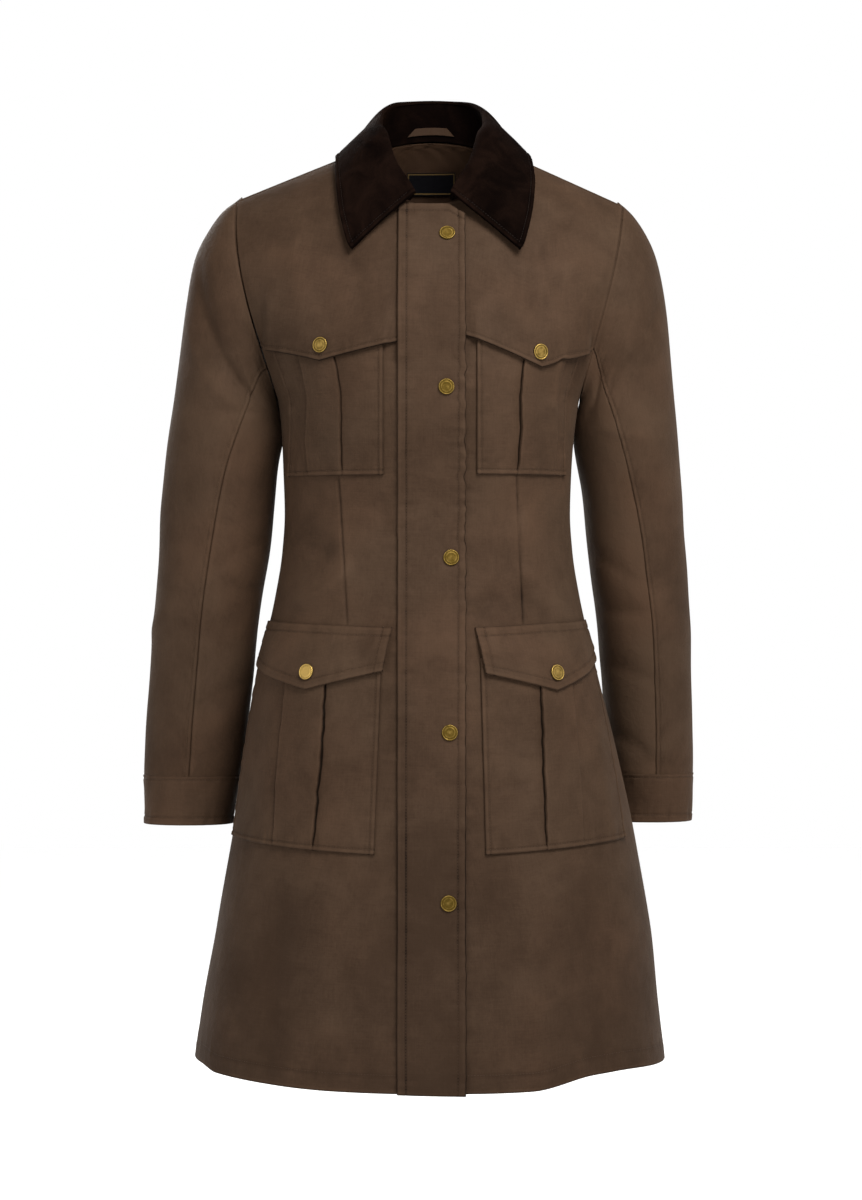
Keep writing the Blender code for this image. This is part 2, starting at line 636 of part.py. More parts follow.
def sleeve_surface(side, part, first_ring, last_ring):
    """Top or under sleeve between its two seams, or a whole ring for the cuff."""
    gap = SEAM_HALF / SLEEVE[side]["depth"][-1]

    def surface(s, t):
        ring = first_ring + (last_ring - first_ring) * t
        front_seam = ring_size(side, "seam", ring)
        if part == "top":
            start, end = front_seam + gap, SLEEVE_BACK_SEAM - gap
        elif part == "under":
            start, end = SLEEVE_BACK_SEAM - 2.0 * math.pi + gap, front_seam - gap
        else:
            start, end = 0.0, 2.0 * math.pi
        return sleeve_point(side, start + (end - start) * s, ring)
    return surface


def sleeve_axis(side, first_ring, last_ring):
    """Reference inside a sleeve: the middle of each ring."""
    def axis(point, s, t):
        ring = first_ring + (last_ring - first_ring) * t
        near = ring_outline(side, np.zeros_like(ring), ring)
        far = ring_outline(side, np.full_like(ring, math.pi), ring)
        return (near + far) / 2.0
    return axis


def add_sleeve(name_end, side):
    """Two-piece sleeve and its cuff band."""
    rings = np.append(np.arange(math.ceil(CUFF_SEAM_RING)), CUFF_SEAM_RING)
    cap_rings = np.append(steps(2 * CAP_RINGS, 0.0, CAP_RINGS), rings[CAP_RINGS + 1:])
    columns = steps(SLEEVE_COLUMNS)
    axis = sleeve_axis(side, 0.0, CUFF_SEAM_RING)
    top = sleeve_surface(side, "top", 0.0, CUFF_SEAM_RING)
    under = sleeve_surface(side, "under", 0.0, CUFF_SEAM_RING)
    cut_wall("sleeve_top_" + name_end, top, columns, cap_rings / CUFF_SEAM_RING, WAXED, away_from=axis)
    cut_wall("sleeve_under_" + name_end, under, columns, rings / CUFF_SEAM_RING, WAXED, away_from=axis)
    start = CUFF_SEAM_RING + CUFF_GAP
    cuff = sleeve_surface(side, "cuff", start, CUFF_END_RING)
    cut_wall("cuff_" + name_end, cuff, steps(CUFF_COLUMNS)[:-1], steps(CUFF_ROWS), WAXED, lift=CUFF_STAND,
             cloth=CUFF_CLOTH, away_from=sleeve_axis(side, start, CUFF_END_RING), ring=True)


def patch_surface(side, rows):
    """Patch on a front: across from its inner edge to its outer edge, along from its bottom up.

    rows names the patch's inner x and outer turn at the bottom and the top, and its levels.
    """
    def surface(s, t):
        low = np.interp(s, rows["share"], rows["low"])
        high = np.interp(s, rows["share"], rows["high"])
        z = low + (high - low) * t
        inner = rows["inner"][0] + (rows["inner"][1] - rows["inner"][0]) * t
        outer = rows["outer"][0] + (rows["outer"][1] - rows["outer"][0]) * t
        turn_in = turn_of(side * inner, z, side)
        turn = turn_in + (np.radians(outer) - turn_in) * s
        return body_point(x_of(turn, z, side), z, FRONT)
    return surface


def pleat_lift(folds, base):
    """Height of a pleated patch: a box pleat stands up between its two folds."""
    def lift(point, s, t):
        rise = smooth_step((s - folds[0]) / PLEAT_STEP) * smooth_step((folds[1] - s) / PLEAT_STEP)
        return base + PLEAT_RISE * rise
    return lift


def pleat_columns(folds):
    """Columns of a pleated patch, close together at its folds."""
    first = steps(PLEAT_COLUMNS, 0.0, folds[0])
    middle = steps(PLEAT_COLUMNS, folds[0] + PLEAT_STEP, folds[1] - PLEAT_STEP)
    last = steps(PLEAT_COLUMNS, folds[1], 1.0)
    return np.concatenate((first, middle, last))


def add_pocket(name, side, sizes, folds, row_count):
    """Patch pocket with a box pleat."""
    cut_wall(name, patch_surface(side, sizes), pleat_columns(folds), steps(row_count), WAXED,
             lift=pleat_lift(folds, LAY + CLOTH))


def flap_lift(point, s, t):
    """Height of a flap: close to the front at its top seam, clear of the pocket below."""
    return LAY + CLOTH + FLAP_STAND * smooth_step((1.0 - t) / FLAP_RUN)


def add_flap(name, side, rows):
    """Pointed pocket flap."""
    middle = rows["share"][1]
    across = np.append(steps(FLAP_COLUMNS[0], 0.0, middle), steps(FLAP_COLUMNS[1], middle, 1.0)[1:])
    cut_wall(name, patch_surface(side, rows), across, steps(FLAP_ROWS), WAXED, lift=flap_lift)


def neck_seam(turn):
    """Neck seam from the right front end (-1) round the back (0) to the left front end (1)."""
    side = np.where(turn < 0.0, RIGHT, LEFT)
    share = np.abs(turn)
    end = math.asin(COLLAR_END_X / NECK_SIDE_X)
    lean_back = np.clip(share / 0.5, 0.0, 1.0) * math.pi / 2.0
    lean_front = math.pi / 2.0 + (end - math.pi / 2.0) * np.clip((share - 0.5) / 0.5, 0.0, 1.0)
    behind_x = side * NECK_SIDE_X * np.sin(lean_back)
    behind = body_point(behind_x, NECK_SIDE_Z * np.sin(lean_back) ** 2, BACK)
    ahead_x = side * NECK_SIDE_X * np.sin(lean_front)
    ahead = body_point(ahead_x, NECK_SIDE_Z + (FRONT_NECK_Z - NECK_SIDE_Z) * np.cos(lean_front), FRONT)
    return np.where((share <= 0.5)[..., None], behind, ahead)


def collar_guide(name, turn):
    """Roll line or outer edge of the collar."""
    side = np.where(turn < 0.0, RIGHT, LEFT)
    at = np.abs(turn)
    spots = [through(COLLAR["turn"], COLLAR[name + axis], at) for axis in ("_x", "_y", "_z")]
    return np.stack((side * spots[0], spots[1], spots[2]), axis=-1)


def stand_rise(turn):
    """Direction in which the stand rises from the neck seam to the roll line."""
    rise = collar_guide("roll", turn) - neck_seam(turn)
    return rise / np.linalg.norm(rise, axis=-1, keepdims=True)


def stand_surface(s, t):
    """Collar stand from the neck seam up to the roll line."""
    turn = 2.0 * s - 1.0
    low = neck_seam(turn) + stand_rise(turn) * STAND_GAP
    return low + (collar_guide("roll", turn) - low) * t[..., None]


def roll_lift(turn):
    """Direction square to the roll line in which the fall clears the stand."""
    ahead = collar_guide("roll", turn + ROLL_NUDGE) - collar_guide("roll", turn - ROLL_NUDGE)
    ahead = ahead / np.linalg.norm(ahead, axis=-1, keepdims=True)
    rise = stand_rise(turn)
    lift = rise - ahead * np.sum(rise * ahead, axis=-1, keepdims=True)
    return lift / np.linalg.norm(lift, axis=-1, keepdims=True)


def fall_surface(s, t):
    """Collar fall: over the stand's top edge, then down to its outer edge."""
    turn = 2.0 * s - 1.0
    lift = roll_lift(turn)
    start = collar_guide("roll", turn) + lift * (COLLAR_CLOTH + LAY)
    end = collar_guide("edge", turn)
    reach = end - start
    level = reach - lift * np.sum(reach * lift, axis=-1, keepdims=True)
    knee = start + level * FALL_KNEE
    t = t[..., None]
    return (1.0 - t) ** 2 * start + 2.0 * t * (1.0 - t) * knee + t * t * end


def add_collar():
    """Stand and fall of the collar."""
    across = steps(COLLAR_COLUMNS)
    cut_wall("collar_stand", stand_surface, across, steps(STAND_ROWS), PILE, cloth=COLLAR_CLOTH)
    cut_wall("collar_fall", fall_surface, across, FALL_ROWS, PILE, cloth=COLLAR_CLOTH)


def add_neck_inside():
    """Facing, label and hanger loop inside the back neck."""
    def label(s, t):
        x = LABEL_X[0] + (LABEL_X[1] - LABEL_X[0]) * s
        return body_point(x, LABEL_Z[0] + (LABEL_Z[1] - LABEL_Z[0]) * t, BACK)

    def loop(s, t):
        turn = LOOP_TURN * (2.0 * s - 1.0) * (1.0 - LOOP_TAPER * t)
        low = stand_surface((turn + 1.0) / 2.0, np.full_like(t, LOOP_SHARE))
        high = stand_surface((turn + 1.0) / 2.0, np.full_like(t, LOOP_SHARE + LOOP_HEIGHT))
        return low + (high - low) * t[..., None]

    under = -(CLOTH + LAY)
    columns = BACK_COLUMNS[np.abs(2.0 * BACK_COLUMNS - 1.0) < NECK_SHARE]
    cut_wall("neck_facing", back_surface, columns, BACK_ROWS[FACING_FIRST_ROW:], LINING, lift=under,
             cloth=FACING_CLOTH)
    cut_wall("label", label, steps(LABEL_COLUMNS), steps(LABEL_ROWS), LABEL,
             lift=under - FACING_CLOTH - LABEL_LAY, cloth=LABEL_CLOTH)
    cut_wall("hanger_loop", loop, steps(LOOP_COLUMNS), steps(1), LINING, lift=-COLLAR_CLOTH - LAY,
             cloth=FACING_CLOTH)


def add_snap(name, x, z, lift):
    """Round brass snap with a rim and a low domed middle, flat on the cloth."""
    def spot(s, t):
        return body_point(x + SNAP_RADIUS * (s - 0.5), z + SNAP_RADIUS * (t - 0.5), FRONT)

    middle = np.full((1, 1), 0.5)
    normal = wall_normals(spot, middle, middle, body_axis)[0, 0]
    across = np.cross(normal, (0.0, 0.0, 1.0))
    across = across / np.linalg.norm(across)
    upward = np.cross(across, normal)
    base = body_point(x, z, FRONT) + normal * (lift + SNAP_LAY)
    points = []
    for radius, height in zip(SNAP["radius"], SNAP["height"]):
        for k in range(SNAP_SIDES):
            angle = 2.0 * math.pi * k / SNAP_SIDES
            around = across * math.cos(angle) + upward * math.sin(angle)
            points.append(base + around * radius + normal * height)
    points.append(base + normal * SNAP["height"][-1])
    faces = []
    for ring in range(len(SNAP["radius"]) - 1):
        for k in range(SNAP_SIDES):
            low = ring * SNAP_SIDES
            after = (k + 1) % SNAP_SIDES
            faces.append((low + k, low + after, low + SNAP_SIDES + after, low + SNAP_SIDES + k))
    top = (len(SNAP["radius"]) - 1) * SNAP_SIDES
    for k in range(SNAP_SIDES):
        faces.append((top + k, top + (k + 1) % SNAP_SIDES, len(points) - 1))
    faces.append(tuple(reversed(range(SNAP_SIDES))))
    points = np.array(points)
    if signed_volume(points, faces) < 0.0:
        faces = [tuple(reversed(face)) for face in faces]
    add_piece(name, points, faces, METAL)


def add_snaps():
    """Snaps on the placket, at the yokes' points and at the flaps' points."""
    for count, (x, z) in enumerate(PLACKET_SNAPS):
        add_snap("snap_placket_%d" % (count + 1), x, z, float(placket_lift(body_point(x, z, FRONT))))
    for name_end, side in SIDES:
        x, z = YOKE_SNAP[side]
        add_snap("snap_yoke_" + name_end, x, z, float(yoke_lift(body_point(x, z, FRONT), side)))
        x, z = FLAP_SNAP[side]
        add_snap("snap_flap_" + name_end, x, z, LAY + CLOTH + FLAP_STAND)


add_fronts()
add_back()
add_placket()
add_collar()
add_neck_inside()
for side_name, side_sign in SIDES:
    add_yoke("yoke_" + side_name, side_sign)
    add_sleeve(side_name, side_sign)
    add_pocket("chest_pocket_" + side_name, side_sign, CHEST_POCKET[side_sign], CHEST_FOLDS,
               CHEST_POCKET_ROWS)
    add_pocket("hip_pocket_" + side_name, side_sign, HIP_POCKET[side_sign], HIP_FOLDS, HIP_POCKET_ROWS)
    add_flap("hip_flap_" + side_name, side_sign, HIP_FLAP[side_sign])
add_snaps()
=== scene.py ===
"""Waxed cotton coat in its worn shape: cloth, stitching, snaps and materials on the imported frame."""
import math

import bpy
import numpy as np
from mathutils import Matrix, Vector


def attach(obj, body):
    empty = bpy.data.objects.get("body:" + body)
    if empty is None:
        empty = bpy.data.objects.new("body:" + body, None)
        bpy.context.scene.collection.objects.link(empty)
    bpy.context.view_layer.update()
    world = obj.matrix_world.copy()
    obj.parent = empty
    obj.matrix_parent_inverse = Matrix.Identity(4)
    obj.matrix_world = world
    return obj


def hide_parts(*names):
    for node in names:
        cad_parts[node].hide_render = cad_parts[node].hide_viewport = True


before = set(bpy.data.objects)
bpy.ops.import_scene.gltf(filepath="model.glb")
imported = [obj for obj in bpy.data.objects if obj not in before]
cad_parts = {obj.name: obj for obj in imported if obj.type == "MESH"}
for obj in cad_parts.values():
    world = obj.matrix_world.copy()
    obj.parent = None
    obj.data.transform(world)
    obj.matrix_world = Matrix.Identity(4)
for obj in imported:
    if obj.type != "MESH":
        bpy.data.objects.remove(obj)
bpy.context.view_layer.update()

MM = 0.001
QUARTER = math.pi / 2.0
WHOLE = 2.0 * math.pi
UP = np.array((0.0, 0.0, 1.0))


def mm(*values):
    """Millimetres as metres."""
    return np.array(values) * MM


def within(value):
    """Value kept from 0 to 1."""
    return np.clip(value, 0.0, 1.0)


def share_past(value, start):
    """Share of the way from a start to 1."""
    return within((value - start) / (1.0 - start))


def smooth_step(value):
    """Ease from 0 to 1."""
    t = within(value)
    return t * t * (3.0 - 2.0 * t)


def mix(start, end, share):
    """Value part of the way from start to end."""
    return start + (end - start) * share


def bell(gap, width):
    """Bump of height 1 that fades over a width."""
    return np.exp(-(gap / width) ** 2)


def unit(vector):
    """Vectors at a length of 1."""
    return vector / np.linalg.norm(vector, axis=-1, keepdims=True)


def powered(value, power):
    """Power of a value's size that keeps its sign."""
    return np.sign(value) * np.abs(value) ** power


# Cloth and seams
CLOTH = 0.0016
FACING_CLOTH = 0.0012
COLLAR_CLOTH = 0.0024
SEAM_HALF = 0.0002
LAY = 0.0005

# Body of the coat
SECTION_POWER = 2.3
CHEST_Z = -0.258
NECK_SIDE_X = 0.068
NECK_EASE = 0.008
NECK_SIDE_Z = -0.0165
FRONT_NECK_Z = -0.074
BACK_NECK_RISE = 0.062
FRONT_ARCH = 1.62
BACK_ARCH = 2.3
BACK_CHEST_ROW = 0.70
NECK_SHARE = 0.42
HEM_SIDE_Z = -0.886
HEM_FRONT_DIP = 0.0125
RIGHT = -1
LEFT = 1
SIDES = {"right": RIGHT, "left": LEFT}
FRONT = -1
BACK = 1
AXIS_DROP = 0.12
NUDGE = 1e-4
TINY = 1e-15

# Body sections: level, middle, half width, front depth, back depth
BODY = {
    "z": mm(-905, -831, -754, -677, -590, -505, -447, -400, -365, -330, -258, -248, -239, -219, -200, -161,
            -122, -80, 10),
    "middle": mm(-1, 0, 3, 3, 0, -3, -3, -3, -3, -3, -2, -2, -2, -1.5, -1, -1, -1, -1, -1),
    "width": mm(227.5, 218, 207, 193.5, 178, 160, 146.5, 139, 136.8, 137.8, 144, 148, 152.5, 163.5, 174,
                196, 212, 220, 222),
    "front": mm(174, 168, 160, 152, 141, 128, 116, 109, 108, 113, *[126] * 9),
    "back": mm(170, 166, 162, 157, 149, 138, 124, 112, 107, 107, *[114] * 9),
}

# Shoulder tip of each side: distance from the middle, level
SHOULDER_TIP = {RIGHT: (0.1850, -0.0640), LEFT: (0.1840, -0.0690)}

# Hem of each front: height of its raised stretch, reach at which that starts, is whole and ends, fade
HEM_RAISE = {RIGHT: (0.0038, 0.88, 0.96, 2.0, 0.07), LEFT: (0.0082, 0.33, 0.62, 0.72, 0.40)}
BACK_HEM_FADE = 0.62

# Lower edge of each yoke: distance from the middle, level; the snap sits at the point
YOKE_EDGE = {
    RIGHT: {"x": mm(20, 30.6, 100.6, 162), "z": mm(-206.5, -208, -224.4, -207)},
    LEFT: {"x": mm(20, 33.4, 65, 100.7, 162), "z": mm(-198.5, -202.4, -214.9, -229.8, -208)},
}
YOKE_POINT_X = {RIGHT: 0.1006, LEFT: 0.1007}
YOKE_UNDERLAP = 0.018
YOKE_LIFT = 0.0066
YOKE_LIFT_EDGE = 0.0030
YOKE_LIFT_RUN = 0.070
YOKE_LIFT_SIDE = 0.011
YOKE_BUTT = (0.80, 0.88)
YOKE_END_ROUNDS = 30

# Fronts and placket
FRONT_EDGE_X = -0.026
CHEST_ROW = 0.88
PLACKET_X = (-0.0305, 0.0325)
PLACKET_TOP_Z = -0.0752
PLACKET_CORNER = 0.0100
PLACKET_CORNER_FROM = 0.75
PLACKET_CLOTH = 0.0022
PLACKET_LAY = 0.0011
PLACKET_DROP = 0.0015
PLACKET_SLANT = 0.4
PLACKET_RAMP = 0.030

# Sleeves: outer edge, inner edge, middle, half depth and front seam's turn of rings, armhole to cuff
SLEEVE_LEVELS = {"in_z": mm(-258, -260, -262, -265, -269, -276, -290, -332, -408.6, -485.4, -580, -664),
                 "depth": mm(60, 60, 61, 61, 61, 60, 59, 57, 54, 50, 46, 43)}
SLEEVE = {
    RIGHT: {
        "out_x": mm(185, 196, 211, 225.5, 234.2, 241.2, 247, 254.8, 264.5, 268, 276.2, 277.5),
        "out_z": mm(-64, -73.5, -93.5, -122, -164, -217, -270, -332, -408.6, -485.4, -580, -664),
        "in_x": mm(144, 144.2, 144.2, 144, 143.2, 141.5, 138.2, 145, 155.6, 167.2, 177.5, 191.8),
        "mid_y": mm(0, 2, 4, 6, 8, 10, 13, 17, 24, 32, 42, 50),
        "seam": (0.84, 0.87, 0.92, 0.98, 1.05, 1.17, 1.36, 1.51, 1.57, 1.61, 1.6, 1.57), **SLEEVE_LEVELS,
    },
    LEFT: {
        "out_x": mm(184, 192.2, 204.6, 216.5, 225.5, 231, 235.8, 240, 247.4, 255, 255.8, 254.8),
        "out_z": mm(-69, -76.5, -93.5, -119, -162, -217, -270, -332, -408.6, -485.4, -580, -664),
        "in_x": mm(144, 142.8, 141.2, 139.9, 138.8, 137.9, 137.6, 144, 151.6, 164, 173, 175),
        "mid_y": mm(0, 3, 6, 9, 13, 18, 24, 34, 50, 68, 86, 97),
        "seam": (1.08, 1.08, 1.07, 1.06, 1.1, 1.23, 1.38, 1.53, 1.66, 1.65, 1.64, 1.65), **SLEEVE_LEVELS,
    },
}
SLEEVE_POWER = 2.15
SLEEVE_BACK_SEAM = 4.35
CUFF_SEAM_RING = 10.42
CUFF_END_RING = 11.0
ARMHOLE_FADE = 3.0
ARMHOLE_GAP = 0.0010
ARMHOLE_SWELL = {RIGHT: 0.0120, LEFT: 0.0065}
ARMHOLE_EASE = 1.25
CUFF_GAP = 0.006
CUFF_LIFT = 0.00024
CUFF_CLOTH = 0.0026

# Patches on the fronts: inner edge and outer turn at bottom and top; levels along the width
CHEST_POCKET = {
    RIGHT: {"inner": mm(43.6, 43.6), "outer": (70.0, 58.5), "share": (0.0, 0.452, 1.0),
            "low": mm(-330.5, -330.5, -330.5), "high": mm(-205, -218.4, -206)},
    LEFT: {"inner": mm(42.7, 42.7), "outer": (68.0, 56.5), "share": (0.0, 0.163, 0.463, 1.0),
           "low": mm(-329.5, -329.5, -329.5, -329.5), "high": mm(-200, -209, -223.8, -208)},
}
HIP_LEVELS = {"share": (0.0, 1.0), "low": mm(-681.5, -670.3), "high": mm(-500, -496)}
HIP_POCKET = {
    RIGHT: {"inner": mm(51.5, 44.8), "outer": (80.0, 80.0), **HIP_LEVELS},
    LEFT: {"inner": mm(50.6, 45.8), "outer": (67.0, 78.0), **HIP_LEVELS},
}
HIP_FLAP = {
    RIGHT: {"inner": mm(43.4, 35.2), "outer": (82.0, 82.0), "share": (0.0, 0.390, 1.0),
            "low": mm(-513.6, -531, -508.9), "high": mm(-472.9, -470, -467)},
    LEFT: {"inner": mm(49.9, 40.8), "outer": (80.0, 80.0), "share": (0.0, 0.415, 1.0),
           "low": mm(-516.4, -531.9, -502.8), "high": mm(-472.9, -469.4, -465.9)},
}
FLAP_STAND = 0.0042
FLAP_RUN = 0.55

# Collar guides from the middle of the back to the front end: roll line and outer edge
COLLAR = {
    "turn": (0.0, 0.04, 0.12, 0.25, 0.45, 0.57, 0.70, 0.85, 1.0),
    "roll_x": mm(0, 6, 17.8, 34.5, 50, 51, 45.5, 36.5, 19),
    "roll_y": mm(72, 71.8, 69.3, 58, 24, -4, -30, -54, -73.5),
    "roll_z": mm(39.2, 39.1, 38.3, 35.7, 21, 9, -3, -34, -66.5),
    "edge_x": mm(0, 10.4, 31, 60, 88, 93, 92.5, 85.5, 77),
    "edge_y": mm(106, 105.6, 102.2, 88.5, 24, -13, -40, -74, -95),
    "edge_z": mm(-25, -25, -24.8, -24, -19, -23, -42, -84, -120.5),
}
COLLAR_SPREAD = {RIGHT: mm(0, 0, 0, 0, 0, 0, 0, 2, 1), LEFT: mm(0, 0, 0, 0, 0, 1, 4.5, 8, 7.2)}
COLLAR_END_X = 0.0195
COLLAR_SHIFT = 0.002
STAND_GAP = 0.0010
FALL_KNEE = 0.54
TIP_CUT = 0.035
TIP_START = 0.955
TIP_STRAIGHT = 0.7
TIP_STRAIGHT_FROM = 0.80
ROLL_NUDGE = 0.01

# Inside of the back neck
FACING_LOW = 0.76
FACING_INSET = 0.012
LABEL_LAY = 0.0016
LABEL_X = (-0.0240, 0.0256)
LABEL_Z = (-0.0480, -0.0262)
LABEL_CLOTH = 0.0008
LOOP_TURN = 0.12
LOOP_TAPER = 0.28
LOOP_SHARE = 0.16
LOOP_HEIGHT = 0.19

# Snaps: places on the cloth
SNAP_RADIUS = 0.0074
SNAP_LAY = 0.0004
PLACKET_SNAPS = ((0.0156, -0.1052), (0.0146, -0.2498), (0.0190, -0.4080), (0.0176, -0.5700),
                 (0.0165, -0.7255))
YOKE_SNAP = {RIGHT: (-0.0998, -0.2102), LEFT: (0.0994, -0.2159)}
FLAP_SNAP = {RIGHT: (-0.1120, -0.5150), LEFT: (0.1140, -0.5158)}


def through(keys, values, at):
    """Smooth curve through a table's rows without overshoot between them."""
    keys = np.asarray(keys, dtype=float)
    values = np.asarray(values, dtype=float)
    at = np.clip(at, keys[0], keys[-1])
    spans = np.diff(keys)
    slopes = np.diff(values) / spans
    tangents = np.append(slopes[:1], slopes)
    rising = slopes[:-1] * slopes[1:] > 0.0
    weight_a = 2.0 * spans[1:] + spans[:-1]
    weight_b = spans[1:] + 2.0 * spans[:-1]
    safe_a = np.where(rising, slopes[:-1], 1.0)
    safe_b = np.where(rising, slopes[1:], 1.0)
    mean = (weight_a + weight_b) / (weight_a / safe_a + weight_b / safe_b)
    tangents[1:-1] = np.where(rising, mean, 0.0)
    row = np.clip(np.searchsorted(keys, at, side="right") - 1, 0, len(spans) - 1)
    t = (at - keys[row]) / spans[row]
    start = (1.0 + 2.0 * t) * (1.0 - t) ** 2 * values[row]
    end = t * t * (3.0 - 2.0 * t) * values[row + 1]
    bend = t * (1.0 - t) ** 2 * tangents[row] - t * t * (1.0 - t) * tangents[row + 1]
    return start + end + spans[row] * bend


def body(column, z):
    """One size of the body at a level."""
    return through(BODY["z"], BODY[column], z)


def shoulder_level(x, face):
    """Level of the shoulder seam over a distance from the middle."""
    right = np.asarray(x) < 0.0
    tip_x, tip_z = (np.where(right, *pair) for pair in zip(SHOULDER_TIP[RIGHT], SHOULDER_TIP[LEFT]))
    slope = (tip_z - NECK_SIDE_Z) / (tip_x - NECK_SIDE_X)
    past = np.abs(x) - NECK_SIDE_X
    sloped = NECK_SIDE_Z + slope * (past + np.hypot(past, NECK_EASE)) / 2.0
    rise = BACK_NECK_RISE if face == BACK else 0.0
    return sloped + rise * (1.0 - within(np.abs(x) / NECK_SIDE_X) ** 2)


def body_depth(x, z, face):
    """Depth of the body's middle line, closing in an arch over the shoulders."""
    column, arch = ("front", FRONT_ARCH) if face == FRONT else ("back", BACK_ARCH)
    climb = within((z - CHEST_Z) / (shoulder_level(x, face) - CHEST_Z))
    return body(column, z) * (1.0 - climb ** arch) ** (1.0 / arch)


def body_point(x, z, face):
    """Point of the body's surface seen at (x, z) from the front or the back."""
    share = within(np.abs(x - body("middle", z)) / body("width", z))
    reach = (1.0 - share ** SECTION_POWER) ** (1.0 / SECTION_POWER)
    depth = body_depth(x, z, face)
    y = face * (depth * reach + SEAM_HALF + body_drape(x, z, face, depth, reach))
    return np.stack(np.broadcast_arrays(x, y, z), axis=-1)


def armhole_x(z, side):
    """Signed distance of the armhole edge from the middle plane at a level."""
    tip_x, tip_z = SHOULDER_TIP[side]
    armpit_x = body("width", CHEST_Z) + side * body("middle", CHEST_Z)
    climb = within((z - CHEST_Z) / (tip_z - CHEST_Z)) ** ARMHOLE_EASE
    return side * (mix(armpit_x, tip_x, climb) + ARMHOLE_SWELL[side] * 4.0 * climb * (1.0 - climb))


def side_x(z, side):
    """Signed distance of the side seam, or of the armhole above the armpit."""
    return np.where(z <= CHEST_Z, body("middle", z) + side * body("width", z), armhole_x(z, side))


def turn_of(x, z, side):
    """Angle round the section at which the surface is at x: a quarter turn is the side."""
    share = np.clip(side * (x - body("middle", z)) / body("width", z), -1.0, 1.0)
    return np.arcsin(powered(share, SECTION_POWER / 2.0))


def x_of(turn, z, side):
    """Signed distance from the middle plane at an angle round the section."""
    return body("middle", z) + side * body("width", z) * powered(np.sin(turn), 2.0 / SECTION_POWER)


def wall_normals(surface, s, t, away_from):
    """Unit normals of a surface function, pointing away from a reference."""
    along_s = surface(within(s + NUDGE), t) - surface(within(s - NUDGE), t)
    along_t = surface(s, within(t + NUDGE)) - surface(s, within(t - NUDGE))
    normal = np.cross(along_s, along_t)
    normal = normal / np.maximum(np.linalg.norm(normal, axis=-1, keepdims=True), TINY)
    point = surface(s, t)
    outward = np.sum(normal * (point - away_from(point, s, t)), axis=-1)
    return normal * (1.0 if np.median(outward) > 0.0 else -1.0)


def body_axis(point, s, t):
    """Reference inside the body for what lies on it."""
    return point * UP - UP * AXIS_DROP


def hem_level(turn):
    """Hem level at an angle round the front: lower at the middle than at the sides."""
    return HEM_SIDE_Z - HEM_FRONT_DIP * np.cos(turn) ** 2


def hem_raise(turn, side):
    """Unevenness of a front's hem at an angle round it."""
    height, start, whole, end, fade = HEM_RAISE[side]
    reach = np.sin(turn)
    return height * smooth_step((reach - start) / (whole - start)) * (1.0 - smooth_step((reach - end) / fade))


def yoke_edge_level(x, side):
    """Level of a yoke's lower edge at a signed distance from the middle."""
    return np.interp(side * np.asarray(x), YOKE_EDGE[side]["x"], YOKE_EDGE[side]["z"])


def yoke_end_level(side):
    """Level at which a yoke's lower edge meets the armhole."""
    level = CHEST_Z / 2.0
    for _ in range(YOKE_END_ROUNDS):
        level = float(yoke_edge_level(armhole_x(level, side), side))
    return level


YOKE_END_Z = {side: yoke_end_level(side) for side in (RIGHT, LEFT)}


def front_edge(side):
    """Signed distance of a front's edge under the placket."""
    return FRONT_EDGE_X + side * SEAM_HALF


def front_turns(z, side):
    """Angles of a front's edge under the placket and of its side at a level."""
    return turn_of(front_edge(side), z, side), turn_of(side_x(z, side), z, side)


def yoke_base_turn(side):
    """Angles of a yoke's two ends along its lower edge."""
    level = YOKE_END_Z[side]
    return turn_of(front_edge(side), level, side), turn_of(armhole_x(level, side), level, side)


def front_surface(side):
    """Front: across from its edge under the placket to the side, along from the hem to the yoke."""
    def surface(s, t):
        chest_turn = mix(turn_of(front_edge(side), CHEST_Z, side), QUARTER, s)
        butt = smooth_step((s - YOKE_BUTT[0]) / (YOKE_BUTT[1] - YOKE_BUTT[0]))
        top_x = x_of(mix(*yoke_base_turn(side), s), YOKE_END_Z[side], side)
        top = yoke_edge_level(top_x, side) + YOKE_UNDERLAP * (1.0 - butt) - 2.0 * LAY * butt
        hem = hem_level(chest_turn) + hem_raise(chest_turn, side)
        z = mix(hem, CHEST_Z, within(t / CHEST_ROW))
        z = z + (top - CHEST_Z) * share_past(t, CHEST_ROW)
        return body_point(x_of(mix(*front_turns(z, side), s), z, side), z, FRONT)
    return surface


def neck_line(lean, face):
    """Neck seam at an angle from its middle: distance from the middle plane, level."""
    if face == FRONT:
        return NECK_SIDE_X * np.sin(lean), mix(NECK_SIDE_Z, FRONT_NECK_Z, np.cos(lean))
    return NECK_SIDE_X * np.sin(lean), NECK_SIDE_Z * np.sin(lean) ** 2


def neck_top(share, side, face):
    """Top edge of a panel: the neck seam up to NECK_SHARE, then the shoulder seam."""
    start = math.asin(side * front_edge(side) / NECK_SIDE_X) if face == FRONT else 0.0
    x, z = neck_line(mix(start, QUARTER, within(share / NECK_SHARE)), face)
    run = share_past(share, NECK_SHARE)
    tip_x, tip_z = SHOULDER_TIP[side]
    return side * (x + (tip_x - NECK_SIDE_X) * run), z + (tip_z - NECK_SIDE_Z) * run


def upper_point(s, climb, base_x, base_z, side, face):
    """Point of a panel's upper part: straight columns from a base line to the top edge."""
    top_x, top_z = neck_top(s, side, face)
    tip_x, tip_z = SHOULDER_TIP[side]
    start = YOKE_END_Z[side] if face == FRONT else CHEST_Z
    swell = armhole_x(mix(start, tip_z, climb), side) - mix(armhole_x(start, side), side * tip_x, climb)
    return body_point(mix(base_x, top_x, climb) + swell * s ** 3, mix(base_z, top_z, climb), face)


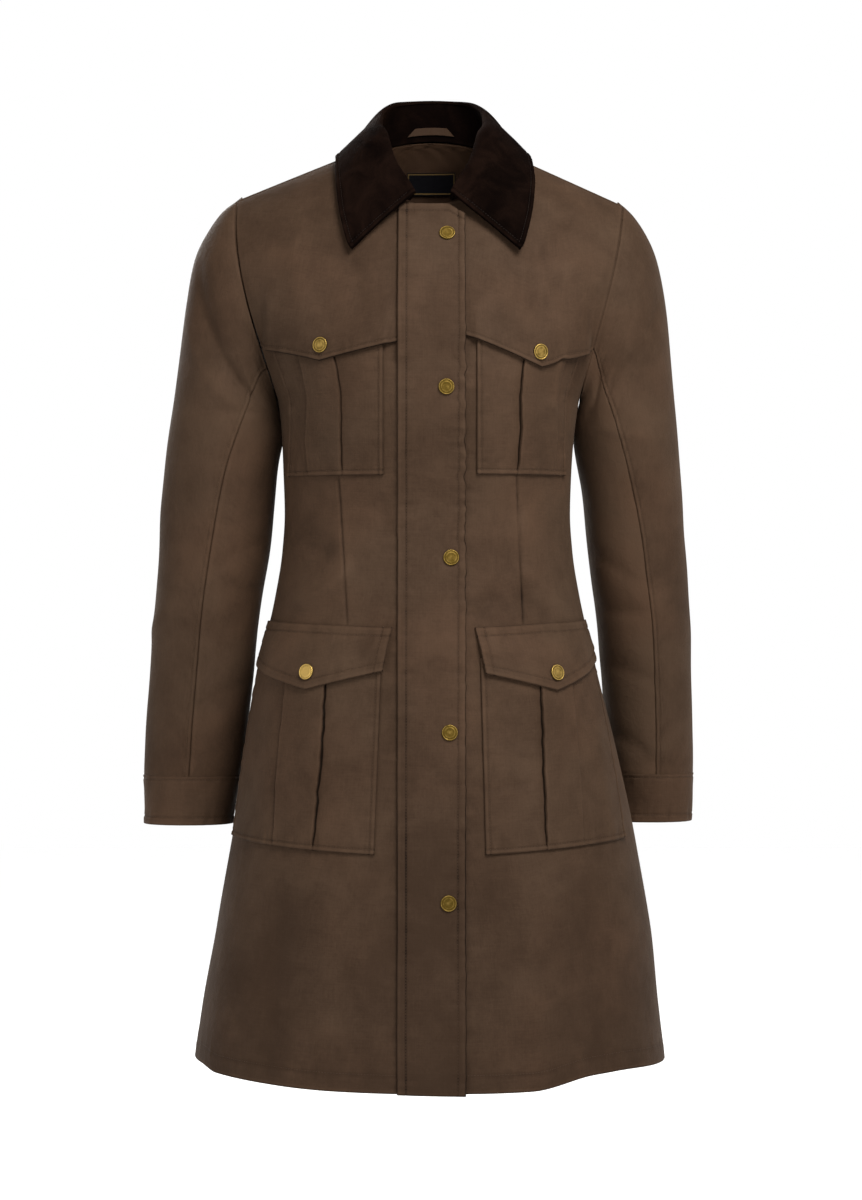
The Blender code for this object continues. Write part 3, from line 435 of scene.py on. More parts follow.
def yoke_surface(side):
    """Yoke: across from its edge under the placket to the armhole, along from its lower edge up."""
    def surface(s, t):
        base_x = x_of(mix(*yoke_base_turn(side), s), YOKE_END_Z[side], side)
        return upper_point(s, np.sin(t * QUARTER), base_x, yoke_edge_level(base_x, side), side, FRONT)
    return surface


def yoke_lift(point, side):
    """How far a yoke stands off the front: most over the pocket, least at its two ends."""
    x = side * point[..., 0]
    end_x = side * armhole_x(YOKE_END_Z[side], side)
    full = mix(YOKE_LIFT_EDGE, YOKE_LIFT, smooth_step((x - PLACKET_X[1]) / YOKE_LIFT_SIDE))
    above = point[..., 2] - yoke_edge_level(point[..., 0], side)
    return full * smooth_step((end_x - x) / YOKE_LIFT_SIDE) * (1.0 - smooth_step(above / YOKE_LIFT_RUN))


def back_surface(s, t):
    """Back: across from the right side to the left, along from the hem to the neck and shoulders."""
    right = s < 0.5
    share = np.abs(2.0 * s - 1.0)
    turn = math.pi * (s - 0.5)
    seam = np.where(right, hem_raise(QUARTER, RIGHT), hem_raise(QUARTER, LEFT))
    hem = HEM_SIDE_Z + seam * smooth_step(share_past(share, BACK_HEM_FADE))
    low = mix(hem, CHEST_Z, within(t / BACK_CHEST_ROW))
    lower = body_point(x_of(turn, low, LEFT), low, BACK)
    climb = np.sin(share_past(t, BACK_CHEST_ROW) * QUARTER)
    base_x = x_of(turn, CHEST_Z, LEFT)
    uppers = (upper_point(share, climb, base_x, CHEST_Z, side, BACK) for side in (RIGHT, LEFT))
    return np.where((t <= BACK_CHEST_ROW)[..., None], lower, np.where(right[..., None], *uppers))


def placket_lift(point):
    """Outer height of the placket above the fronts and, higher up, above the yokes' edges under it."""
    z = point[..., 2]
    levels = [yoke_edge_level(FRONT_EDGE_X, side) for side in (RIGHT, LEFT)]
    above = 1.0 - smooth_step((z - max(levels)) / YOKE_LIFT_RUN)
    below = 1.0 - smooth_step((min(levels) - z) / PLACKET_RAMP)
    return PLACKET_LAY + PLACKET_CLOTH + YOKE_LIFT_EDGE * np.minimum(above, below)


def placket_surface(s, t):
    """Placket: across from its stitched edge to its free edge, along from the hem to the neck."""
    x = mix(*PLACKET_X, s)
    hem = hem_level(turn_of(x, HEM_SIDE_Z, LEFT)) - PLACKET_DROP * (PLACKET_SLANT + s)
    cut = share_past(s, PLACKET_CORNER_FROM)
    return body_point(x, mix(hem, PLACKET_TOP_Z - PLACKET_CORNER * cut, t), FRONT)


def ring_size(side, column, ring):
    """One size of a sleeve at a ring."""
    return through(np.arange(len(SLEEVE[side][column])), SLEEVE[side][column], ring)


def ring_outline(side, turn, ring):
    """Plain rounded ring: a turn of 0 is the inner edge, a quarter the front, a half the outer edge."""
    share = (1.0 - powered(np.cos(turn), 2.0 / SLEEVE_POWER)) / 2.0
    x, z = (mix(ring_size(side, "in_" + axis, ring), ring_size(side, "out_" + axis, ring), share)
            for axis in "xz")
    ahead = powered(np.sin(turn), 2.0 / SLEEVE_POWER)
    y = ring_size(side, "mid_y", ring) - ring_size(side, "depth", ring) * ahead
    return np.stack(np.broadcast_arrays(side * (x + ARMHOLE_GAP), y, z), axis=-1)


def ring_middle(side, ring):
    """Middle of a ring."""
    return (ring_outline(side, 0.0 * ring, ring) + ring_outline(side, 0.0 * ring + math.pi, ring)) / 2.0


def sleeve_point(side, turn, ring):
    """Point of a sleeve: its rings start from the armhole's own outline."""
    plain = ring_outline(side, turn, ring)
    first = ring_outline(side, turn, 0.0 * ring)
    level = first[..., 2]
    edge = armhole_x(level, side)
    ahead, behind = (body_point(edge, level, face) for face in (FRONT, BACK))
    seam = np.where((np.sin(turn) >= 0.0)[..., None], ahead, behind)
    seam = seam + np.array((side * ARMHOLE_GAP, 0.0, 0.0))
    fade = within(1.0 - ring / ARMHOLE_FADE) ** 2
    away = unit(plain - ring_middle(side, ring))
    return plain + (seam - first) * fade[..., None] + away * sleeve_drape(side, turn, ring)[..., None]


def sleeve_surface(side, part, first_ring, last_ring):
    """Top or under sleeve between its two seams, or a whole ring for the cuff."""
    gap = SEAM_HALF / SLEEVE[side]["depth"][-1]

    def surface(s, t):
        ring = mix(first_ring, last_ring, t)
        front_seam = ring_size(side, "seam", ring)
        start, end = {"top": (front_seam + gap, SLEEVE_BACK_SEAM - gap),
                      "under": (SLEEVE_BACK_SEAM - WHOLE + gap, front_seam - gap),
                      "cuff": (0.0, WHOLE)}[part]
        return sleeve_point(side, mix(start, end, s), ring)
    return surface


def sleeve_axis(side, first_ring, last_ring):
    """Reference inside a sleeve: the middle of each ring."""
    def axis(point, s, t):
        return ring_middle(side, mix(first_ring, last_ring, t))
    return axis


def patch_surface(side, rows):
    """Patch on a front: across from its inner edge to its outer edge, along from its bottom up."""
    def surface(s, t):
        low, high = (np.interp(s, rows["share"], rows[name]) for name in ("low", "high"))
        z = mix(low, high, t)
        turn_in = turn_of(side * mix(*rows["inner"], t), z, side)
        turn = mix(turn_in, np.radians(mix(*rows["outer"], t)), s)
        return body_point(x_of(turn, z, side), z, FRONT)
    return surface


def neck_seam(turn):
    """Neck seam from the right front end (-1) round the back (0) to the left front end (1)."""
    side = np.where(turn < 0.0, RIGHT, LEFT)
    share = np.abs(turn)
    end = math.asin(COLLAR_END_X / NECK_SIDE_X)
    leans = {BACK: QUARTER * within(2.0 * share), FRONT: mix(QUARTER, end, within(2.0 * share - 1.0))}
    spots = []
    for face, lean in leans.items():
        x, z = neck_line(lean, face)
        spots.append(body_point(side * x, z, face))
    return np.where((share <= 0.5)[..., None], *spots)


def collar_guide(name, turn):
    """Roll line or outer edge of the collar."""
    side = np.where(turn < 0.0, RIGHT, LEFT)
    at = np.abs(turn)
    x, y, z = (through(COLLAR["turn"], COLLAR[name + axis], at) for axis in ("_x", "_y", "_z"))
    if name == "edge":
        wide = (through(COLLAR["turn"], COLLAR_SPREAD[part], at) for part in (RIGHT, LEFT))
        x = x + np.where(side == RIGHT, *wide)
    return np.stack((side * x + COLLAR_SHIFT, y, z), axis=-1)


def stand_rise(turn):
    """Direction in which the stand rises from the neck seam to the roll line."""
    return unit(collar_guide("roll", turn) - neck_seam(turn))


def stand_surface(s, t):
    """Collar stand from the neck seam up to the roll line."""
    turn = 2.0 * s - 1.0
    low = neck_seam(turn) + stand_rise(turn) * STAND_GAP
    return mix(low, collar_guide("roll", turn), t[..., None])


def square_to(vector, line):
    """Part of vectors that is square to unit vectors."""
    return vector - line * np.sum(vector * line, axis=-1, keepdims=True)


def fall_surface(s, t):
    """Collar fall: over the stand's top edge, then down to its outer edge."""
    turn = 2.0 * s - 1.0
    ahead = unit(collar_guide("roll", turn + ROLL_NUDGE) - collar_guide("roll", turn - ROLL_NUDGE))
    lift = unit(square_to(stand_rise(turn), ahead))
    start = collar_guide("roll", turn) + lift * (COLLAR_CLOTH + LAY)
    blunt = TIP_CUT * share_past(np.abs(turn), TIP_START) ** 2
    end = mix(start, collar_guide("edge", turn), (1.0 - blunt)[..., None])
    reach = end - start
    even = TIP_STRAIGHT * smooth_step(share_past(np.abs(turn), TIP_STRAIGHT_FROM))[..., None]
    knee = start + square_to(reach, lift) * FALL_KNEE * (1.0 - even) + reach * 0.5 * even
    t = t[..., None]
    return (1.0 - t) ** 2 * start + 2.0 * t * (1.0 - t) * knee + t * t * end


# Colours of the cloth, thread and metal, linear
# Near-black painted shade for the deepest creases, pleat gaps and darkest edge lines
WAX_PAINTED_CREASE_SHADE = (0.0040, 0.0020, 0.0010, 1.0)
WAX_DARK = (0.0230, 0.0130, 0.0076, 1.0)
WAX_LIGHT = (0.0455, 0.0275, 0.0168, 1.0)
WAX_LIGHT_WARM = (0.0488, 0.0274, 0.0162, 1.0)
LINING_DARK = (0.0110, 0.0046, 0.0016, 1.0)
LINING_LIGHT = (0.0230, 0.0112, 0.0052, 1.0)
PILE_DARK = (0.0010, 0.00032, 0.00016, 1.0)
PILE_LIGHT = (0.0064, 0.0030, 0.0019, 1.0)
BRASS_DARK = (0.060, 0.038, 0.007, 1.0)
BRASS_LIGHT = (0.390, 0.258, 0.074, 1.0)
LABEL_DARK_YARN = (0.0007, 0.0007, 0.0011, 1.0)
LABEL_LIGHT_YARN = (0.0018, 0.0017, 0.0025, 1.0)
LABEL_GOLD = (0.120, 0.075, 0.025, 1.0)
THREAD_DARK = (0.026, 0.0140, 0.0072, 1.0)
THREAD_LIGHT = (0.046, 0.0258, 0.0138, 1.0)
PILE_THREAD_DARK = (0.0030, 0.0015, 0.0010, 1.0)
PILE_THREAD_LIGHT = (0.0160, 0.0095, 0.0066, 1.0)
WAXED_THREAD = 0.00050
LINING_THREAD = 0.00042
LABEL_THREAD = 0.00040

# Soft folds of the body in mm, seen from the front: start x, z, end x, z, half width, height, bow
FRONT_FOLDS = (
    (-134, -452, -78, -418, 11, 3.8, 4), (-126, -370, -92, -408, 20, -3.2, 0),
    (-46, -352, -38, -388, 12, -2.2, 0), (90, -365, 108, -424, 16, 2.4, 3),
    (44, -466, 58, -440, 10, -2.4, 0), (-136, -425, -92, -400, 9, -2.4, 3),
    (86, -418, 132, -460, 9.5, 3.2, -4), (80, -442, 112, -468, 8, -2.2, -2),
    (122, -222, 117, -266, 5, 2.4, 3), (112, -262, 124, -292, 5, 2, -2), (135, -228, 126, -292, 6, -2.8, 3),
    (-142, -236, -122, -286, 8, -1.6, -4), (56, -122, 92, -192, 12, 1.4, 3),
    (94, -112, 128, -176, 11, -1.1, -3), (-128, -98, -118, -176, 14, 1.4, 4),
    (-78, -110, -62, -182, 12, -1, 0), (-190, -715, -205, -880, 16, 2.2, 4),
    (-140, -720, -152, -890, 22, -2.6, -3), (-90, -700, -96, -890, 24, 2, 4),
    (90, -700, 100, -890, 26, 2.4, -4), (142, -715, 160, -890, 22, -2.4, 3),
    (158, -560, 172, -668, 12, 2.6, 3), (50, -583, 102, -586, 4.5, 0.7, 2),
    (48, -620, 94, -617, 4.5, -0.7, 1), (-98, -600, -60, -606, 5, -0.6, 2),
    (-152, -560, -160, -660, 15, 1.2, -3), (62, -800, 148, -815, 15, 1.1, 6),
    (-160, -800, -60, -826, 16, -1, 6),
)
BACK_FOLDS = (
    (-112, -130, -80, -300, 16, 2.6, 6), (112, -132, 78, -310, 17, 2.8, -7),
    (-130, -200, -104, -290, 10, -2.4, 4), (132, -205, 102, -300, 10, -2.6, -4),
    (-108, -392, -20, -372, 9.5, 2.4, 6), (112, -402, 26, -384, 10, 2.6, -6),
    (-96, -352, -30, -346, 8.5, -1.8, 4), (100, -430, 40, -418, 9, -2, -4),
    (-118, -440, -52, -424, 8.5, -1.6, 4), (-105, -520, -138, -885, 26, 4.6, 6),
    (-48, -500, -64, -885, 28, -4, 4), (16, -520, 12, -885, 28, 3.6, 5), (72, -500, 90, -885, 27, -4, -5),
    (130, -540, 160, -885, 25, 4, -4), (-30, -60, -50, -150, 15, -1.4, 3),
    (36, -62, 52, -150, 15, -1.4, -3),
)

# Soft folds of the sleeves: start turn, mm from the armhole, end turn, mm, and the rest alike
SLEEVE_FOLDS = {
    RIGHT: (
        (2.65, 36, 1.0, 86, 12, -3.4, 3), (2.75, 66, 1.2, 112, 12, 1.4, 3),
        (2.1, 120, 0.9, 100, 9, -1.2, 2), (0.3, 232, 1.5, 262, 9, -1.5, 3),
        (0.2, 285, 1.35, 276, 8, -1.3, -3), (2.0, 300, 3.2, 330, 12, 1, 3),
        (0.4, 372, 1.6, 398, 9, -1.2, 3), (1.2, 440, 2.4, 455, 8, -1, 2), (3.6, 70, 5.2, 110, 10, -2, 3),
        (3.7, 250, 5.7, 282, 9, -2.4, 4), (3.9, 300, 5.9, 292, 9, -2.2, -4),
        (4.1, 345, 5.6, 360, 10, -1.6, 3), (3.6, 420, 5.2, 440, 9, -1.4, 3),
    ),
    LEFT: (
        (2.6, 50, 1.2, 70, 9, -1.4, 3), (1.05, 30, 0.7, 110, 7, -1.6, 3), (2.4, 140, 1.1, 120, 10, 1, 3),
        (0.3, 240, 1.4, 268, 8.5, -1.6, 3), (0.2, 292, 1.55, 300, 8.5, -1.4, -3),
        (0.5, 350, 1.8, 372, 8.5, -1.4, 3), (0.4, 418, 1.5, 440, 8, -1.8, 3),
        (1.0, 452, 2.0, 446, 7, -1.2, 2), (3.5, 66, 5.1, 100, 10, -2, 3), (3.7, 262, 5.7, 288, 9, -2.4, 4),
        (3.9, 318, 5.8, 306, 9, -2, -4), (3.8, 400, 5.4, 424, 9, -1.6, 3),
    ),
}
DRAPE = {"share": 1.0}
SLEEVE_GIRTH = 50.0
FOLD_RISE = 1.5
FOLD_CREST = 0.35
FOLD_SPREAD = 0.62
FOLD_FADE = 0.4
WAVE_COUNT = 14
WAVE_LENGTH = (0.045, 0.190)
WAVE_HEIGHT = 0.00052
WAVE_SEED = {FRONT: 4, BACK: 9, "sleeve": 20}
STILL_SIDE = (0.15, 0.45)
STILL_SHOULDER = 0.06
STILL_RINGS = (1.6, 0.4, 0.7)


def soft_folds(a, b, table):
    """Height of soft ridges and troughs, each along a line that fades out past its ends."""
    height = np.zeros(np.broadcast(a, b).shape)
    for from_a, from_b, to_a, to_b, width, rise, bow in np.array(table) * MM:
        run_a, run_b = to_a - from_a, to_b - from_b
        length = math.hypot(run_a, run_b)
        along = ((a - from_a) * run_a + (b - from_b) * run_b) / length ** 2
        aside = ((a - from_a) * run_b - (b - from_b) * run_a) / length - bow * 4.0 * along * (1.0 - along)
        fade = smooth_step(along / FOLD_FADE + 0.5) * smooth_step((1.0 - along) / FOLD_FADE + 0.5)
        crest = FOLD_CREST * width
        slope = np.exp((crest - np.hypot(aside, crest)) / (FOLD_SPREAD * width))
        height = height + FOLD_RISE * rise * slope * fade
    return height


def cloth_waves(a, b, seed):
    """Low uneven swelling of hung cloth."""
    rng = np.random.default_rng(seed)
    height = np.zeros(np.broadcast(a, b).shape)
    for _ in range(WAVE_COUNT):
        length = rng.uniform(*WAVE_LENGTH)
        heading = rng.uniform(0.0, math.pi)
        phase = rng.uniform(0.0, WHOLE)
        swing = (a * math.cos(heading) + b * math.sin(heading)) / length
        height = height + length / WAVE_LENGTH[1] * np.sin(WHOLE * swing + phase)
    return height * WAVE_HEIGHT


def body_drape(x, z, face, depth, reach):
    """Folds of the body's cloth, still at the side, shoulder and armhole seams."""
    folds = FRONT_FOLDS if face == FRONT else BACK_FOLDS
    height = soft_folds(x, z, folds) + cloth_waves(x, z, WAVE_SEED[face])
    still = smooth_step((reach - STILL_SIDE[0]) / STILL_SIDE[1]) * smooth_step(depth / STILL_SHOULDER)
    return DRAPE["share"] * height * still


def sleeve_distance(side, ring):
    """Distance of a ring from the armhole along the middle of the sleeve."""
    size = SLEEVE[side]
    mid_x, mid_z = ((size["out_" + axis] + size["in_" + axis]) / 2.0 for axis in "xz")
    run = np.append(0.0, np.cumsum(np.hypot(np.diff(mid_x), np.diff(mid_z))))
    return through(np.arange(len(run)), run, ring)


def sleeve_drape(side, turn, ring):
    """Folds of a sleeve's cloth, still at the armhole and at the cuff's end."""
    distance = sleeve_distance(side, ring)
    height = np.zeros(np.broadcast(turn, ring).shape)
    unrolled = np.array(SLEEVE_FOLDS[side]) * (SLEEVE_GIRTH, 1.0, SLEEVE_GIRTH, 1.0, 1.0, 1.0, 1.0)
    for lap in (-WHOLE, 0.0, WHOLE):
        height = height + soft_folds((turn + lap) * SLEEVE_GIRTH * MM, distance, unrolled)
    across = np.sin(turn) * SLEEVE_GIRTH * MM
    along = distance + SLEEVE_GIRTH * MM * np.cos(turn)
    height = height + cloth_waves(across, along, WAVE_SEED["sleeve"] + side)
    start, past, end = STILL_RINGS
    still = smooth_step(ring / start) * smooth_step((CUFF_END_RING + past - ring) / end)
    return DRAPE["share"] * height * still


# Turned edges and stitch lines, with their painted highlights and painted shade
ROUND = 0.0009
ROUND_SHARE = 0.96
# Painted highlight in a band a little in from each turned edge
EDGE_HIGHLIGHT = 0.4
EDGE_HIGHLIGHT_PLACE = 0.0024
EDGE_HIGHLIGHT_WIDTH = 0.0013
TURN_RISE = 0.00045
TURN_EASE = 0.0024
GROOVE = 0.00050
GROOVE_WIDTH = 0.0009
GROOVE_STILL = 0.6
# Painted shading of the soft folds: painted highlight on ridges, painted shade in troughs
FOLD_PAINTED_SHADING = 120.0
FOLD_MOST = 0.0045
# Painted shade: a dark line along each turned edge and in each stitch groove
EDGE_DARK = 1.1
EDGE_LINE = 0.0008
STITCH_DARK = 0.70
PUCKER = 0.00034
# Painted shading on the gathers beside stitch lines
PUCKER_TONE = 0.14
PUCKER_REACH = 0.0085
PUCKER_LENGTHS = (0.0072, 0.0113, 0.0171, 0.0262)
PUCKER_DRIFT = (0.9, 5.3)
PUCKER_PHASE = 6.28
EDGE_STEPS = mm(0, 0.12, 0.3, 0.6, 1, 1.8, 2.8, 3.6, 4.3, 5, 5.8, 6.6, 7.4, 8.2, 9.2, 10.4, 12)


def edged_steps(length, count, first=True, last=True):
    """Fractions along a length, close together at the ends that are turned edges."""
    near = EDGE_STEPS / length
    start = near if first else near[:1]
    end = 1.0 - near[::-1] if last else np.ones(1)
    return np.concatenate((start, np.linspace(start[-1], end[0], count + 1)[1:-1], end))


def merged(parts, least):
    """Fractions of several rows in order, without those closer than the least step."""
    steps = np.sort(np.concatenate(parts))
    return steps[np.append(True, np.diff(steps) > least)]


def ripple(place, seed):
    """Uneven gathers along a stitch line."""
    rng = np.random.default_rng(seed)
    swing = np.zeros_like(place)
    for length in PUCKER_LENGTHS:
        drift = np.sin(WHOLE * place / (length * PUCKER_DRIFT[1]) + rng.uniform(0.0, PUCKER_PHASE))
        phase = PUCKER_DRIFT[0] * drift + rng.uniform(0.0, PUCKER_PHASE)
        swing = swing + np.sin(WHOLE * place / length + phase)
    return swing / len(PUCKER_LENGTHS) ** 0.5


def run_along(point, axis):
    """Distance travelled along one direction of a grid of points."""
    step = np.linalg.norm(np.diff(point, axis=axis), axis=-1)
    start = np.zeros_like(np.take(step, (0,), axis=axis))
    return np.concatenate((start, np.cumsum(step, axis=axis)), axis=axis)


SIDE_EDGES = ("first", "last")


class Cloth:
    """One cut piece as a fine grid: its places, outward directions and distances from its edges."""

    def __init__(self, surface, across, along, lift=0.0, cloth=CLOTH, away_from=body_axis, ring=False):
        self.s, self.t = np.meshgrid(np.asarray(across, float), np.asarray(along, float), indexing="ij")
        self.point = surface(self.s, self.t)
        self.normal = wall_normals(surface, self.s, self.t, away_from)
        self.base = lift(self.point, self.s, self.t) if callable(lift) else np.full(self.s.shape, lift)
        self.height = self.base.copy()
        DRAPE["share"] = 0.0
        fold = np.sum((self.point - surface(self.s, self.t)) * self.normal, axis=-1)
        DRAPE["share"] = 1.0
        # Painted shading of the soft folds: painted highlight on ridges, painted shade in troughs
        self.tone = FOLD_PAINTED_SHADING * np.clip(fold, -FOLD_MOST, FOLD_MOST)
        self.tone_inside = np.zeros(self.s.shape)
        self.cloth = cloth
        self.ring = ring
        self.measure()

    def measure(self):
        """Distances along the two directions of the grid."""
        self.across, self.along = (run_along(self.point, axis) for axis in (0, 1))

    def distance(self, edge):
        """Distance of each place from one edge."""
        if edge in SIDE_EDGES:
            return self.across if edge == "first" else self.across[-1:] - self.across
        return self.along if edge == "low" else self.along[:, -1:] - self.along

    def turn_edge(self, edge, stitch=None, seed=0, rise=TURN_RISE, pucker=PUCKER, dark=EDGE_DARK,
                  line=STITCH_DARK):
        """Rounded edge with a painted highlight a little in from it and painted shade on its rim; with a
        stitch line it is thicker up to the line and puckered beside it, with painted shading on the gathers
        and painted shade in the groove.
        """
        gap = self.distance(edge)
        lean = 1.0 - within(gap / ROUND)
        self.height -= ROUND * (1.0 - np.sqrt(1.0 - ROUND_SHARE * lean ** 2))
        # Painted highlight a little in from the edge, painted shade on its rim
        self.tone += EDGE_HIGHLIGHT * bell(gap - EDGE_HIGHLIGHT_PLACE, EDGE_HIGHLIGHT_WIDTH) - dark * bell(gap, EDGE_LINE)
        if stitch is None:
            return
        gathers = ripple(self.along if edge in SIDE_EDGES else self.across, seed)
        near = gathers * bell(gap - stitch, PUCKER_REACH)
        groove = bell(gap - stitch, GROOVE_WIDTH)
        self.height += pucker * near * (1.0 - GROOVE_STILL * groove) - GROOVE * groove
        self.height += rise * (1.0 - smooth_step((gap - stitch) / TURN_EASE + 0.5))
        # Painted shading on the gathers, painted shade in the stitch groove
        self.tone += PUCKER_TONE * near - line * groove

    def tuck(self, edge, reach, sink, toward=None):
        """One more row past an edge, laid under the neighbouring piece."""
        last = edge in ("last", "high")
        axis = 0 if edge in SIDE_EDGES else 1

        def end(values, step=0):
            return np.take(values, (-1 - step if last else step,), axis=axis)

        def grow(name, row):
            values = getattr(self, name)
            setattr(self, name, np.concatenate((values, row) if last else (row, values), axis=axis))

        beside = end(self.point) - end(self.point, 2) if toward is None else np.array(toward)
        grow("point", end(self.point) + unit(beside) * np.asarray(reach)[..., None])
        for name in ("base", "height"):
            grow(name, end(getattr(self, name)) - sink)
        for name in ("normal", "tone", "tone_inside", "s", "t"):
            grow(name, end(getattr(self, name)))
        self.measure()

    def outer(self):
        """Places of the outer side."""
        return self.point + self.normal * self.height[..., None]

    def inner(self):
        """Places of the inner side."""
        return self.point + self.normal * (np.minimum(self.base, self.height) - self.cloth)[..., None]

    def line(self, edge, gap, start=0.0, end=0.0):
        """Points and outward directions of a line at a distance from an edge, cut short at its ends."""
        grids = [self.distance(edge), self.outer(), self.normal]
        if edge in ("low", "high"):
            grids = [grid.swapaxes(0, 1) for grid in grids]
        if edge in ("last", "high"):
            grids = [grid[::-1] for grid in grids]
        distance = grids[0]
        column = np.arange(distance.shape[1])
        low = np.clip(np.sum(distance <= gap, axis=0) - 1, 0, len(distance) - 2)
        before, after = distance[low, column], distance[low + 1, column]
        share = within((gap - before) / (after - before))[:, None]
        points, facing = (mix(grid[low, column], grid[low + 1, column], share) for grid in grids[1:])
        run = run_along(points, 0)
        keep = (run >= start) & (run <= run[-1] - end)
        return points[keep], facing[keep]

    def area(self):
        """Area of the cut piece."""
        grid = np.concatenate((self.point, self.point[:1])) if self.ring else self.point
        one = np.cross(grid[1:, :-1] - grid[:-1, :-1], grid[:-1, 1:] - grid[:-1, :-1])
        two = np.cross(grid[:-1, 1:] - grid[1:, 1:], grid[1:, :-1] - grid[1:, 1:])
        return float(np.sum(np.linalg.norm(one, axis=-1) + np.linalg.norm(two, axis=-1)) / 2.0)


def grid_faces(columns, rows, ring):
    """Faces of a closed wall between two grids, and which of them are on the inner side."""
    half = columns * rows
    spans = np.arange(columns if ring else columns - 1)
    i, j = np.meshgrid(spans, np.arange(rows - 1), indexing="ij")
    after = (i + 1) % columns * rows
    quads = np.stack((i * rows + j, after + j, after + j + 1, i * rows + j + 1), axis=-1).reshape(-1, 4)

    def rim(here, there, turned):
        wall = np.stack((here, there, half + there, half + here), axis=-1)
        return wall[:, ::-1] if turned else wall

    here, there = spans * rows, (spans + 1) % columns * rows
    rims = [rim(here, there, True), rim(here + rows - 1, there + rows - 1, False)]
    if not ring:
        j = np.arange(rows - 1)
        last = (columns - 1) * rows
        rims += [rim(j, j + 1, False), rim(last + j, last + j + 1, True)]
    rims = np.concatenate(rims)
    faces = np.concatenate((quads, half + quads[:, ::-1], rims))
    return faces, np.repeat((0, 1, 0), (len(quads), len(quads), len(rims)))


def closed_volume(points, faces):
    """Signed volume that quads close, positive when they face out."""
    a, b, c, d = (points[faces[:, k]] for k in range(4))
    return float(np.sum(a * (np.cross(b, c) + np.cross(c, d)))) / 6.0


def add_object(name, data):
    """Named object in the scene."""
    piece = bpy.data.objects.new(name, data)
    bpy.context.scene.collection.objects.link(piece)
    return piece


SHARP = 50.0


def add_mesh(name, points, faces, finishes, slots=None, sharp=SHARP, tone=None):
    """Named object from points and faces, smooth but for its sharp edges, with its tone."""
    mesh = bpy.data.meshes.new(name)
    mesh.from_pydata(np.asarray(points, float).tolist(), [], faces)
    for finish in finishes:
        mesh.materials.append(finish)
    if slots is not None:
        mesh.polygons.foreach_set("material_index", np.asarray(slots, np.int32))
    mesh.shade_smooth()
    if sharp:
        mesh.set_sharp_from_angle(angle=math.radians(sharp))
    if tone is not None:
        values = mesh.attributes.new("tone", "FLOAT", "POINT")
        values.data.foreach_set("value", np.asarray(tone, np.float32))
    mesh.update()
    return add_object(name, mesh)


def add_cloth(node, cloth, finish, rests_on):
    """Shell of a cut piece that stands for its solid; finish holds its two sides' materials and its slot,
    which is not used.
    """
    outer, inner = cloth.outer(), cloth.inner()
    columns, rows = outer.shape[:2]
    points = np.concatenate((outer.reshape(-1, 3), inner.reshape(-1, 3)))
    faces, slots = grid_faces(columns, rows, cloth.ring)
    if closed_volume(points, faces) < 0.0:
        faces = faces[:, ::-1]
    tone = np.concatenate((cloth.tone.ravel(), cloth.tone_inside.ravel()))
    piece = add_mesh("cloth_" + node, points, faces.tolist(), finish[:2], slots, tone=tone)
    mesh = piece.data
    weave = mesh.uv_layers.new(name="weave")
    corner = np.zeros(len(mesh.loops), np.int32)
    mesh.loops.foreach_get("vertex_index", corner)
    middle = columns // 2
    flat = np.stack((cloth.across - cloth.across[middle:middle + 1], cloth.along), axis=-1).reshape(-1, 2)
    weave.data.foreach_set("uv", np.concatenate((flat, flat))[corner].astype(np.float32).ravel())
    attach(piece, "root")
    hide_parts(node)
    width = float(cloth.across.max())
    if cloth.ring:
        width = width * columns / (columns - 1.0)
    length = float(cloth.along.max())
    area = min(cloth.area(), width * length)
    rests_on = ["cloth_" + name for name in rests_on]


def feed(tree, socket, value):
    """Value or link of one socket."""
    value = getattr(value, "socket", value)
    if isinstance(value, bpy.types.NodeSocket):
        tree.links.new(value, socket)
    else:
        socket.default_value = value


def add_node(tree, kind, settings=None, sockets=None):
    """Node of a kind; its settings are set first, then its sockets' values or links."""
    made = tree.nodes.new(kind)
    for name, value in (settings or {}).items():
        setattr(made, name, value)
    for name, value in (sockets or {}).items():
        feed(tree, made.inputs[name], value)
    return made


class Value:
    """A shader socket that takes part in plain arithmetic."""

    def __init__(self, finish, socket):
        self.finish = finish
        self.socket = socket

    def combine(self, operation, first, second):
        return self.finish.node("ShaderNodeMath", {"operation": operation}, {0: first, 1: second})

    def __add__(self, other):
        return self.combine("ADD", self, other)

    def __sub__(self, other):
        return self.combine("SUBTRACT", self, other)

    def __rsub__(self, other):
        return self.combine("SUBTRACT", other, self)

    def __mul__(self, other):
        return self.combine("MULTIPLY", self, other)

    __radd__ = __add__
    __rmul__ = __mul__


